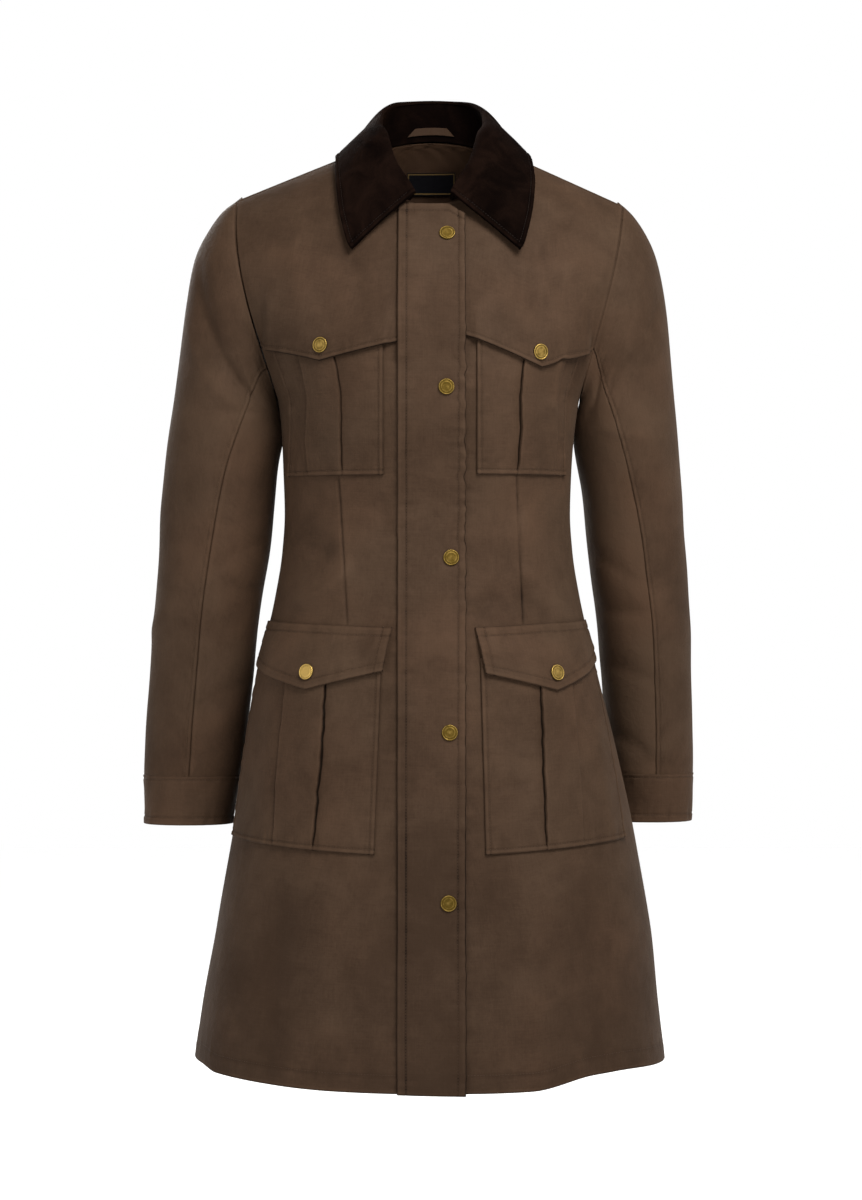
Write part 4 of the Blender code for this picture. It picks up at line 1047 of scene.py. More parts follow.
class Finish:
    """One material, its nodes added by name with their settings and sockets."""

    def __init__(self, name, **constants):
        self.material = bpy.data.materials.new(name)
        self.material.use_nodes = True
        self.tree = self.material.node_tree
        self.shader = self.tree.nodes["Principled BSDF"]
        for socket, value in constants.items():
            self.shader.inputs[socket.replace("_", " ")].default_value = value

    def node(self, kind, settings=None, sockets=None, output=0):
        """One output of a new node."""
        return Value(self, add_node(self.tree, kind, settings, sockets).outputs[output])

    def place(self):
        """Place on the object."""
        return self.node("ShaderNodeTexCoord", output="Object")

    def tone(self):
        """Lighter and darker places written on the piece: painted light and shade, and on the snaps also
        their patina and wear, on the label its gold line.
        """
        return self.node("ShaderNodeAttribute", {"attribute_name": "tone"}, output="Fac")

    def flat(self):
        """Place on the piece laid flat."""
        return self.node("ShaderNodeUVMap", {"uv_map": "weave"})

    def part(self, place, axis):
        """One axis of a place."""
        return self.node("ShaderNodeSeparateXYZ", None, {0: place}, output=axis)

    def noise(self, place, scale, detail=3.0, rough=0.55, warp=0.0):
        """Soft noise from 0 to 1."""
        return self.node("ShaderNodeTexNoise", {"noise_dimensions": "3D"},
                         {"Vector": place, "Scale": scale, "Detail": detail, "Roughness": rough,
                          "Distortion": warp})

    def clamp(self, value, low, high):
        """Value mapped from a range to 0 and 1, and kept there."""
        return self.node("ShaderNodeMapRange", {"clamp": True, "interpolation_type": "SMOOTHSTEP"},
                         {"Value": value, "From Min": low, "From Max": high})

    def stretch(self, place, scale):
        """Place scaled along its own axes."""
        return self.node("ShaderNodeVectorMath", {"operation": "MULTIPLY"}, {0: place, 1: scale})

    def blend(self, share, first, second):
        """Mix of two colours."""
        return self.node("ShaderNodeMix", {"data_type": "RGBA", "blend_type": "MIX", "clamp_factor": True},
                         {0: share, 6: first, 7: second}, output=2)

    def sine(self, value):
        """Sine of a value."""
        return self.node("ShaderNodeMath", {"operation": "SINE"}, {0: value})

    def woven(self, thread):
        """Plain weave on the piece laid flat: height from 0 to 1 and uneven yarn."""
        flat = self.flat()
        turn = math.pi / thread
        cross = self.sine(self.part(flat, "X") * turn) * self.sine(self.part(flat, "Y") * turn)
        fine, long = YARN[0] / thread, YARN[1] / thread
        yarn_u, yarn_v = (self.noise(self.stretch(flat, scale), 1.0, 2.0)
                          for scale in ((fine, long, 1.0), (long, fine, 1.0)))
        return cross * 0.5 + 0.5, yarn_u + yarn_v - 1.0

    def finish(self, colour, rough=None, height=None, distance=0.0004, strength=1.0):
        """Links what varies over the surface to the shader."""
        feed(self.tree, self.shader.inputs["Base Color"], colour)
        if rough is not None:
            feed(self.tree, self.shader.inputs["Roughness"], rough)
        if height is not None:
            bump = self.node("ShaderNodeBump", None,
                             {"Height": height, "Distance": distance, "Strength": strength})
            feed(self.tree, self.shader.inputs["Normal"], bump)
        return self.material


YARN = (0.5, 0.02)


def waxed_cotton():
    """Brown waxed cotton: cloudy wax and fine weave, with painted shade along edges, in stitch grooves and
    creases and towards the hem, and painted highlights a little in from the edges.
    """
    made = Finish("waxed_cotton", Sheen_Weight=0.03, Sheen_Roughness=0.40, Sheen_Tint=(0.80, 0.58, 0.42, 1.0),
                  Specular_IOR_Level=0.04)
    place = made.place()
    cloud = made.noise(made.stretch(place, (1.0, 1.0, 0.8)), 16.0, 5.0, 0.58, 0.4)
    patch = made.noise(place, 46.0, 4.0, 0.60, 0.3)
    fleck = made.noise(place, 420.0, 3.0, 0.6)
    weave, yarn = made.woven(WAXED_THREAD)
    tone = made.tone()
    level = made.part(place, "Z")
    mottle = (cloud - 0.5) * 0.85 + (patch - 0.5) * 0.50 + (fleck - 0.5) * 0.36 + yarn * 0.30
    # Painted shade: darker towards the hem and a little darker over the shoulders; the tone adds each piece's
    # painted light and shade
    share = 0.24 + made.clamp(level, -0.98, -0.48) * 0.30 - made.clamp(level, -0.30, -0.12) * 0.07
    share = share + mottle + tone * 0.34
    warm = made.noise(place, 9.0, 3.0, 0.5)
    light = made.blend(made.clamp(warm, 0.35, 0.68), WAX_LIGHT, WAX_LIGHT_WARM)
    colour = made.blend(made.clamp(share, 0.0, 1.0), WAX_DARK, light)
    # Painted shade: where the tone is lowest, along the darkest edges, in deep creases and pleat gaps, the
    # colour goes near black
    colour = made.blend(made.clamp(tone, -0.75, -1.70), colour, WAX_PAINTED_CREASE_SHADE)
    rough = 0.70 + (0.5 - cloud) * 0.22 + (0.5 - patch) * 0.10
    crinkle = made.noise(place, 95.0, 4.0, 0.55, 0.6)
    height = weave * 0.10 + yarn * 0.16 + (crinkle - 0.5) * 0.9 + (patch - 0.5) * 1.2 + (fleck - 0.5) * 0.10
    return made.finish(colour, rough, height, distance=0.0011, strength=0.55)


def lining_cotton():
    """Plain matt lining; its tone adds painted light and shade on the neck facing."""
    made = Finish("lining_cotton", Specular_IOR_Level=0.10)
    cloud = made.noise(made.place(), 30.0, 4.0)
    weave, yarn = made.woven(LINING_THREAD)
    share = made.clamp(cloud + yarn * 0.25 + made.tone() * 0.5, 0.25, 0.75)
    colour = made.blend(share, LINING_DARK, LINING_LIGHT)
    height = weave * 0.3 + yarn * 0.4 + cloud
    return made.finish(colour, 0.72 + (cloud - 0.5) * 0.2, height, distance=0.0006, strength=0.5)


def collar_pile():
    """Dark short pile, brushed unevenly; its tone adds painted highlights a little in from its edges and
    painted shade.
    """
    made = Finish("collar_pile", Sheen_Weight=0.012, Sheen_Roughness=0.30, Sheen_Tint=(0.60, 0.28, 0.16, 1.0),
                  Specular_IOR_Level=0.015)
    place = made.place()
    brushed = made.noise(place, 34.0, 4.0, 0.6, 0.8)
    nap = made.noise(made.stretch(made.flat(), (2600.0, 700.0, 1.0)), 1.0, 2.0)
    tuft = made.noise(place, 1500.0, 2.0)
    # The tone adds painted highlights and painted shade
    share = (brushed - 0.5) * 1.5 + (nap - 0.5) * 0.7 + (tuft - 0.5) * 0.5 + made.tone() * 0.35 + 0.45
    colour = made.blend(made.clamp(share, 0.0, 1.0), PILE_DARK, PILE_LIGHT)
    rough = 0.88 + (brushed - 0.5) * 0.15
    return made.finish(colour, rough, nap * 0.5 + tuft * 0.5 + brushed * 1.4, distance=0.0007, strength=0.7)


def thread_finish(name, dark, light):
    """Sewing thread, twisted and a little uneven."""
    made = Finish(name, Specular_IOR_Level=0.12)
    place = made.place()
    uneven = made.noise(place, 300.0, 2.0)
    twist = made.noise(place, 2600.0, 2.0)
    colour = made.blend(made.clamp(uneven + (twist - 0.5) * 0.6, 0.2, 0.8), dark, light)
    return made.finish(colour, 0.62 + (uneven - 0.5) * 0.2, twist, distance=0.0001, strength=0.5)


def snap_brass():
    """Aged brass: warm, dulled in its low places and worn bright on its rim; each snap's tone also holds its
    painted highlight and painted shade.
    """
    made = Finish("snap_brass", Metallic=1.0)
    place = made.place()
    stain = made.noise(place, 260.0, 4.0, 0.6)
    grain = made.noise(place, 1700.0, 3.0, 0.6)
    # The tone holds each snap's patina and wear, and its painted highlight and painted shade
    low = made.tone()
    share = made.clamp(0.55 + (stain - 0.5) * 0.9 + (grain - 0.5) * 0.4 + low * 0.6, 0.0, 1.0)
    colour = made.blend(share, BRASS_DARK, BRASS_LIGHT)
    rough = 0.50 - (stain - 0.5) * 0.25 - low * 0.08
    return made.finish(colour, rough, grain * 0.6 + stain, distance=0.00012, strength=0.5)


def label_weave():
    """Plain dark woven label with a thin gold line along its border."""
    made = Finish("label_weave", Specular_IOR_Level=0.05)
    weave, yarn = made.woven(LABEL_THREAD)
    ground = made.blend(made.clamp(weave + yarn * 0.4, 0.0, 1.0), LABEL_DARK_YARN, LABEL_LIGHT_YARN)
    colour = made.blend(made.clamp(made.tone(), 0.2, 0.6), ground, LABEL_GOLD)
    return made.finish(colour, 0.66 + yarn * 0.1, weave + yarn * 0.5, distance=0.0002, strength=0.6)


# Outer side, inner side and slot of each cloth
LINING = lining_cotton()
PILE = collar_pile()
LABEL = label_weave()
WAXED_CLOTH = (waxed_cotton(), LINING, "waxed_cotton")
LINING_CLOTH = (LINING, LINING, "lining_cotton")
PILE_CLOTH = (PILE, PILE, "collar_pile")
LABEL_CLOTH_FINISH = (LABEL, LABEL, "label_weave")
METAL = snap_brass()
THREAD = thread_finish("sewing_thread", THREAD_DARK, THREAD_LIGHT)
PILE_THREAD = thread_finish("collar_thread", PILE_THREAD_DARK, PILE_THREAD_LIGHT)

# Stitches
STITCH = {"Pitch": 0.0028, "Length": 0.0023, "Width": 0.00050}
STITCH_SINK = 0.00002
STITCH_UNEVEN = (0.86, 1.08)
STITCH_BALL = {"Segments": 6, "Rings": 4, "Radius": 0.5}


def sewing_tree():
    """Nodes that lay stitches along lines: each stitch follows its line and faces out of the cloth."""
    tree = bpy.data.node_groups.new("stitches_along_lines", "GeometryNodeTree")
    face = tree.interface
    face.new_socket("Lines", in_out="INPUT", socket_type="NodeSocketGeometry")
    sizes = {}
    for name, kind in {**dict.fromkeys(STITCH, "Float"), "Seed": "Int", "Thread": "Material"}.items():
        sizes[name] = face.new_socket(name, in_out="INPUT", socket_type="NodeSocket" + kind).identifier
    face.new_socket("Stitches", in_out="OUTPUT", socket_type="NodeSocketGeometry")

    def node(kind, settings=None, sockets=None, output=0):
        made = add_node(tree, kind, settings, sockets)
        return made.outputs[output] if made.outputs else made

    given = tree.nodes.new("NodeGroupInput").outputs
    curve = node("GeometryNodeMeshToCurve", None, {"Mesh": given["Lines"]})
    spaced = node("GeometryNodeResampleCurve", {"mode": "LENGTH"}, {"Curve": curve, "Length": given["Pitch"]})
    lie = node("GeometryNodeInputNamedAttribute", {"data_type": "FLOAT_VECTOR"}, {"Name": "lie"}, "Attribute")
    heading = node("GeometryNodeInputTangent")
    along = node("FunctionNodeAlignRotationToVector", {"axis": "X"}, {"Vector": heading})
    turned = node("FunctionNodeAlignRotationToVector", {"axis": "Z", "pivot_axis": "X"},
                  {"Rotation": along, "Vector": lie})
    ball = node("GeometryNodeMeshUVSphere", None, STITCH_BALL, "Mesh")
    rounded = node("GeometryNodeSetShadeSmooth", None, {"Geometry": ball})
    uneven = node("FunctionNodeRandomValue", {"data_type": "FLOAT"},
                  {"Seed": given["Seed"], 2: STITCH_UNEVEN[0], 3: STITCH_UNEVEN[1]}, 1)
    length = node("ShaderNodeMath", {"operation": "MULTIPLY"}, {0: given["Length"], 1: uneven})
    size = node("ShaderNodeCombineXYZ", None, {"X": length, "Y": given["Width"], "Z": given["Width"]})
    laid = node("GeometryNodeInstanceOnPoints", None,
                {"Points": spaced, "Instance": rounded, "Rotation": turned, "Scale": size})
    real = node("GeometryNodeRealizeInstances", None, {"Geometry": laid})
    painted = node("GeometryNodeSetMaterial", None, {"Geometry": real, "Material": given["Thread"]})
    node("NodeGroupOutput", None, {"Stitches": painted})
    return tree, sizes


SEWING, SEWING_SIZES = sewing_tree()


def add_stitches(name, lines, thread, seed):
    """Stitches along lines of points with outward directions, as one plain mesh."""
    points = []
    edges = []
    facing = []
    for line, outward in lines:
        start = len(points)
        points.extend(line - outward * STITCH_SINK)
        facing.extend(outward)
        edges.extend((start + k, start + k + 1) for k in range(len(line) - 1))
    mesh = bpy.data.meshes.new(name + "_lines")
    mesh.from_pydata(np.array(points).tolist(), edges, [])
    lie = mesh.attributes.new("lie", "FLOAT_VECTOR", "POINT")
    lie.data.foreach_set("vector", np.array(facing, np.float32).ravel())
    maker = add_object(name + "_lines", mesh)
    modifier = maker.modifiers.new("sewing", "NODES")
    modifier.node_group = SEWING
    for key, value in {**STITCH, "Seed": seed, "Thread": thread}.items():
        modifier[SEWING_SIZES[key]] = value
    graph = bpy.context.evaluated_depsgraph_get()
    made = bpy.data.meshes.new_from_object(maker.evaluated_get(graph))
    bpy.data.objects.remove(maker)
    bpy.data.meshes.remove(mesh)
    made.name = name
    piece = add_object(name, made)
    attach(piece, "root")


# Distances of the stitch lines from their edges
HEM_STITCH = 0.0170
YOKE_STITCH = 0.0046
PLACKET_STITCH = {"first": 0.0082, "last": 0.0076, "high": 0.0082}
POCKET_STITCH = 0.0046
FLAP_STITCH = 0.0086
SLEEVE_STITCH = 0.0036
CUFF_STITCH = {"low": 0.0034, "high": 0.0076}
COLLAR_STITCH = 0.0052

# Where stitch lines start and how far before the edge they end
LINE_ENDS = {"front": (0.002, 0.004), "back": (0.004, 0.004), "yoke": (0.002, 0.003),
             "sleeve": (0.006, 0.002), "placket": (0.004, PLACKET_STITCH["high"]),
             "fall": (0.006, COLLAR_STITCH)}

# Uneven gathers: first seed of each piece, and heights that differ from the usual
SEED = {"dart": 41, "front": 50, "back": 71, "yoke": 81, "placket": 91, "gathers": 94, "sleeve": 101,
        "sleeve_back": 104, "cuff_low": 111, "cuff_high": 114, "pocket": 121, "flap": 161,
        "collar": 181, "facing": 201}
SEED_STEP = {"pocket": 7, "flap": 5}
BODY_STITCH_SEED = 5
COLLAR_STITCH_SEED = 6
PLACKET_PUCKER = {"first": 0.00042, "last": 0.00048}
COLLAR_PUCKER = 0.0003
THIN_RISE = 0.0003
CUFF_RISE = 0.0001

# Painted light and shade: painted light on the under sleeves and cuffs, painted shade along edges, in stitch
# grooves and inside the collar stand; the right yoke and the collar fall's left side darker
UNDER_PAINTED_LIGHT = {RIGHT: 0.15, LEFT: 1.20}
SLEEVE_LINE = {RIGHT: 0.30, LEFT: 0.60}
SLEEVE_BACK_LINE = 0.5
PLACKET_LINE = 1.2
BACK_DARK = 0.6
YOKE_DARK = {"low": 1.7, "last": 0.5, "high": 0.6}
PLACKET_DARK = {"first": 1.2, "last": 1.9}
SLEEVE_DARK = {"first": 0.3, "last": 0.4, "low": 0.4}
UNDER_DARK = 0.5
UNDER_FRONT = 2.0
CUFF_DARK = 0.9
STAND_DARK = 0.8
FALL_DARK = (0.5, 0.03, 0.04)
YOKE_TONE = {RIGHT: -0.30, LEFT: 0.02}
CUFF_PAINTED_LIGHT = 0.35

# Size and plain steps of each piece's grid, across and along
GRID = {
    "front": ((0.245, 62), (0.69, 186)), "back": ((0.55, 100), (0.63, 104)),
    "placket": ((0.063, 12), (0.82, 300)), "chest": ((0.115, 40), (0.120, 40)),
    "hip": ((0.165, 40), (0.180, 60)), "fall": ((0.46, 130), (0.075, 30)),
}
BACK_TOP_ROWS = 60
YOKE_GRID = ((0.13, 44), (0.085, 26), (0.19, 52))
FLAP_GRID = ((0.085, 22), (0.070, 16), (0.052, 14))
SLEEVE_GRID = {"top": (0.17, 34), "under": (0.13, 18)}
SLEEVE_RINGS = np.concatenate(((0.0, 0.012, 0.03, 0.06), np.linspace(0.0, 4.0, 46)[1:],
                               np.linspace(4.0, CUFF_SEAM_RING, 112)[1:]))
CUFF_COLUMNS = 120
CUFF_GRID = (0.047, 9)
EVEN_GRID = {"stand": (130, 16), "facing": (60, 35), "label": (50, 24), "loop": (40, 8)}
LEAST_STEP = {"front": 1e-4, "yoke": 3e-4, "pocket": 4e-4}

# How far pieces reach under their neighbours, and how deep
SIDE_TUCK = (0.004, 0.0014)
TOP_TUCK = (0.006, 0.0012)
UNDER_TUCK = (0.006, 0.0014)
FALL_TUCK = (0.0035, 0.0014)
SHOULDER_TUCK = (0.0022, 0.0008)
SHOULDER_TUCK_TOWARD = (0.0, 1.0, -0.3)
SHOULDER_TUCK_END = (0.985, 0.08)

# Shoulder seam on the yokes: its place, half width, depth, step and shade
SHOULDER_LINE = 0.918
SHOULDER_WIDTH = 0.0045
SHOULDER_DEPTH = 0.0006
SHOULDER_STEP = (0.0005, 0.010)
SHOULDER_DARK = 1.3
SHOULDER_START = 0.03
SHOULDER_ROWS = np.arange(-7, 8) * 0.0028
SHOULDER_STITCH = (4, -2)

# Waist darts: distance from the middle and level at the top and the bottom
DART = {RIGHT: (0.0860, -0.3310, 0.0776, -0.4700), LEFT: (0.0806, -0.3300, 0.0866, -0.4700)}
DART_DEPTH = 0.0009
DART_WIDTH = 0.0012
DART_DRAWN = (0.0006, 0.007)
DART_PUCKER = (0.7, 0.010)
DART_TOP_FADE = (0.006, 0.012)
DART_END_FADE = (0.004, 0.010)
DART_DARK = 1.1
DART_STEPS = (0.012, 0.0045)

# Cloth beside and along the placket: gathers with painted shading, and the placket a little darker, with
# painted shade towards the hem
BESIDE_PUCKER = (0.9, 0.16, 0.012)
BESIDE_SEEDS = (61, 62)
PLACKET_TONE = 0.12
PLACKET_LOW_TONE = (0.40, -0.50, 0.20)
PLACKET_LOOSE = ((-0.48, 0.05), (-0.16, 0.06))
PLACKET_GATHERS = {"height": (0.0003, 0.0006, 0.008), "tone": (0.10, 0.30, 0.009),
                   "x": (0.0002, 0.0006, 0.015)}
PLACKET_GATHER_STEP = (0.55, 0.6)
PLACKET_GATHER_BIAS = 0.4

# Folds of each pocket's pleat, inner and outer: levels and shares from the bottom up, and their depth, which
# sets their painted shade and how far they gape
PLEATS = {
    "chest": {RIGHT: (((0.0, 0.28, 0.90, 1.0), (0.318, 0.340, 0.362, 0.364), 1.25),
                      ((0.0, 0.26, 0.90, 1.0), (0.645, 0.715, 0.693, 0.690), 1.0)),
              LEFT: (((0.0, 0.39, 0.96, 1.0), (0.344, 0.398, 0.388, 0.388), 1.45),
                     ((0.0, 0.36, 0.80, 1.0), (0.775, 0.850, 0.810, 0.805), 0.5))},
    "hip": {RIGHT: (((0.0, 0.08, 0.52, 0.84, 1.0), (0.280, 0.278, 0.273, 0.288, 0.290), 1.75),
                    ((0.0, 0.07, 0.41, 0.84, 1.0), (0.512, 0.517, 0.545, 0.562, 0.565), 1.3)),
            LEFT: (((0.0, 0.42, 0.83, 1.0), (0.318, 0.326, 0.352, 0.360), 1.55),
                   ((0.0, 0.42, 0.83, 1.0), (0.560, 0.580, 0.600, 0.600), 0.4))},
}
PLEAT_HEIGHT = (0.0027, 0.0015)
PLEAT_WALL = 0.005
PLEAT_SAG = 0.0007
PLEAT_WANDER = (0.0022, 0.45)
PLEAT_GAPE = (0.72, 0.28, 1.05)
PLEAT_SEAM = 0.010
PLEAT_GAP = 0.00065
PLEAT_GAP_FROM = 1.1
PLEAT_UNEVEN = (0.85, 0.6, 0.35)
# Painted shade in and beside each fold, and a painted highlight on its other side
PLEAT_SHADE = (0.2, 0.0055)
PLEAT_HIGHLIGHT = (0.30, 0.0016, 0.0012)
PLEAT_SINK = (0.0005, 0.0004)
PLEAT_STEPS = (0.024, 0.0025)
PLEAT_LOW = {"height": 0.35, "tone": 0.45}
PLEAT_UNEVEN_ENDS = (0.1, 1.9)
PLEAT_LEAN = 0.7

# Flaps lie lower toward their outer ends: share, where it starts, how far it runs
FLAP_ENDS = ((0.45, 0.70, 0.20), (0.35, 0.93, 0.07))

# Inside of the neck: the facing's gathers, its painted light near the top and painted shading on the gathers,
# the label's rim, the loop
FACING_GATHERS = (0.0006, 0.018)
FACING_TONE = (0.8, 0.022, 350.0)
LABEL_RIM = (0.0015, 0.0005)
LOOP_TONE = 1.0

LINES = []
PILE_LINES = []


def sew_lines(cloth, edges, gap, start=None, end=None, lines=LINES):
    """Keeps stitch lines for the sewing; by default they end where they meet the next lines."""
    start = gap if start is None else start
    for edge in edges:
        past = (0.0 if edge in SIDE_EDGES else gap) if end is None else end
        lines.append(cloth.line(edge, gap, start, past))


def dart_x(side, level):
    """Signed distance of a dart from the middle plane at a level."""
    high_x, high_z, low_x, low_z = DART[side]
    return side * mix(low_x, high_x, (level - low_z) / (high_z - low_z))


def press_dart(cloth, side):
    """Narrow groove of a waist dart, with the cloth drawn in beside it and painted shade in the groove."""
    level = cloth.point[..., 2]
    aside = cloth.point[..., 0] - dart_x(side, level)
    fade = smooth_step((DART[side][1] + DART_TOP_FADE[0] - level) / DART_TOP_FADE[1])
    fade = fade * smooth_step((level - DART[side][3] + DART_END_FADE[0]) / DART_END_FADE[1])
    groove = bell(aside, DART_WIDTH) * fade
    drawn = DART_DRAWN[0] * bell(aside, DART_DRAWN[1]) * fade
    gathers = DART_PUCKER[0] * PUCKER * ripple(level, SEED["dart"] + side)
    gathers = gathers * bell(aside, DART_PUCKER[1]) * fade
    cloth.height += drawn * (1.0 - groove) - DART_DEPTH * groove + gathers
    # Painted shade in the dart's groove
    cloth.tone -= DART_DARK * groove


def sew_front(name, side):
    """Front from the hem to under the yoke, with its dart."""
    levels = np.array(DART[side][1::2])
    turn_in, turn_out = front_turns(levels, side)
    shares = (turn_of(dart_x(side, levels), levels, side) - turn_in) / (turn_out - turn_in)
    fine = np.arange(shares.min() - DART_STEPS[0], shares.max() + DART_STEPS[0], DART_STEPS[1])
    across, along = GRID["front"]
    columns = merged((edged_steps(*across, first=False), fine), LEAST_STEP["front"])
    cloth = Cloth(front_surface(side), columns, edged_steps(*along, last=False))
    # Painted shade along the edges and in the hem's stitch groove
    cloth.turn_edge("low", HEM_STITCH, SEED["front"] + side, rise=THIN_RISE)
    cloth.turn_edge("last")
    press_dart(cloth, side)
    for edge_x, seed in zip(PLACKET_X, BESIDE_SEEDS):
        beside = ripple(cloth.point[..., 2], seed) * bell(cloth.point[..., 0] - edge_x, BESIDE_PUCKER[2])
        cloth.height += PUCKER * BESIDE_PUCKER[0] * beside
        # Painted shading on the gathers beside the placket
        cloth.tone += BESIDE_PUCKER[1] * beside
    sew_lines(cloth, ("low",), HEM_STITCH, *LINE_ENDS["front"])
    cloth.tuck("last", *SIDE_TUCK)
    add_cloth("front_" + name, cloth, WAXED_CLOTH, ["yoke_" + name])


def sew_back():
    """Back from the hem to the neck and shoulder seams."""
    across, along = GRID["back"]
    low = edged_steps(*along, last=False) * BACK_CHEST_ROW
    high = mix(BACK_CHEST_ROW, 1.0, np.linspace(0.0, 1.0, BACK_TOP_ROWS)[1:])
    cloth = Cloth(back_surface, edged_steps(*across), np.append(low, high))
    # Painted shade along the edges and in the hem's stitch groove
    cloth.turn_edge("low", HEM_STITCH, SEED["back"], rise=THIN_RISE)
    for edge in SIDE_EDGES:
        cloth.turn_edge(edge, dark=BACK_DARK)
    sew_lines(cloth, ("low",), HEM_STITCH, *LINE_ENDS["back"])
    add_cloth("back", cloth, WAXED_CLOTH, ["yoke_right", "yoke_left"])


def pointed_steps(middle, inner, outer, first):
    """Columns of a piece with a point: those up to the point, then those past it."""
    past = mix(middle, 1.0, edged_steps(*outer, first=False)[1:])
    return np.append(edged_steps(*inner, first=first, last=False) * middle, past)


def sew_yoke(name, side):
    """Storm yoke with its stitched pointed edge."""
    inner, outer, along = YOKE_GRID
    turn_in, turn_out = yoke_base_turn(side)
    point_turn = turn_of(side * YOKE_POINT_X[side], YOKE_END_Z[side], side)
    across = pointed_steps(float((point_turn - turn_in) / (turn_out - turn_in)), inner, outer, False)
    rows = merged((edged_steps(*along), SHOULDER_LINE + SHOULDER_ROWS), LEAST_STEP["yoke"])
    cloth = Cloth(yoke_surface(side), across, rows, lift=lambda p, s, t: yoke_lift(p, side))
    cloth.tone += YOKE_TONE[side]
    # Painted shade along the edges, most along the lower one, and in its stitch groove
    for edge, dark in YOKE_DARK.items():
        cloth.turn_edge(edge, YOKE_STITCH if edge == "low" else None, SEED["yoke"] + side, dark=dark)
    shoulder = smooth_step((cloth.s - NECK_SHARE) / SHOULDER_START)
    groove = bell(cloth.t - SHOULDER_LINE, SHOULDER_WIDTH) * shoulder
    step = SHOULDER_STEP[0] * smooth_step((cloth.t - SHOULDER_LINE) / SHOULDER_STEP[1])
    cloth.height += (step - SHOULDER_DEPTH * groove) * shoulder
    # Painted shade in the shoulder seam's groove
    cloth.tone -= SHOULDER_DARK * groove
    sew_lines(cloth, ("low",), YOKE_STITCH, *LINE_ENDS["yoke"])
    neck = int(np.interp(NECK_SHARE, cloth.s[:, 0], np.arange(cloth.s.shape[0])))
    row = int(np.argmin(np.abs(cloth.t[0] - SHOULDER_LINE)))
    stretch = slice(neck + SHOULDER_STITCH[0], SHOULDER_STITCH[1])
    LINES.append((cloth.outer()[stretch, row], cloth.normal[stretch, row]))
    lap = (shoulder * smooth_step((SHOULDER_TUCK_END[0] - cloth.s) / SHOULDER_TUCK_END[1]))[:, -1:]
    cloth.tuck("high", SHOULDER_TUCK[0] * lap, SHOULDER_TUCK[1] * lap, SHOULDER_TUCK_TOWARD)
    add_cloth("yoke_" + name, cloth, WAXED_CLOTH, ["front_" + name])


def sew_placket():
    """Fly-front band, stitched along both edges and across its top."""
    cloth = Cloth(placket_surface, *(edged_steps(*steps) for steps in GRID["placket"]),
                  lift=lambda p, s, t: placket_lift(p), cloth=PLACKET_CLOTH)
    # Painted shade along the edges and in the stitch grooves, most along the free edge
    for count, (edge, gap) in enumerate(PLACKET_STITCH.items()):
        cloth.turn_edge(edge, gap, SEED["placket"] + count, pucker=PLACKET_PUCKER.get(edge, PUCKER),
                        dark=PLACKET_DARK.get(edge, EDGE_DARK),
                        line=PLACKET_LINE if edge == "first" else STITCH_DARK)
    cloth.turn_edge("low")
    edge = cloth.distance("last")
    level = cloth.point[..., 2]
    # The placket a little darker all over, with painted shade darker towards the hem
    dark, start, run = PLACKET_LOW_TONE
    cloth.tone -= PLACKET_TONE + dark * smooth_step((start - level) / run)
    (low, low_run), (high, high_run) = PLACKET_LOOSE
    loose = smooth_step((level - low) / low_run) * smooth_step((high - level) / high_run)
    near = {name: (least + more * loose) * bell(edge, width)
            for name, (least, more, width) in PLACKET_GATHERS.items()}
    gathers, wander = (ripple(cloth.along * step, SEED["gathers"] + count)
                       for count, step in enumerate(PLACKET_GATHER_STEP))
    cloth.height += near["height"] * (gathers + PLACKET_GATHER_BIAS)
    # Painted shading on the free edge's gathers
    cloth.tone += near["tone"] * gathers
    cloth.point[..., 0] += near["x"] * wander
    for side in SIDE_EDGES:
        sew_lines(cloth, (side,), PLACKET_STITCH[side], *LINE_ENDS["placket"])
    sew_lines(cloth, ("high",), PLACKET_STITCH["high"], PLACKET_STITCH["first"], PLACKET_STITCH["last"])
    add_cloth("placket", cloth, WAXED_CLOTH, ["front_right", "front_left"])


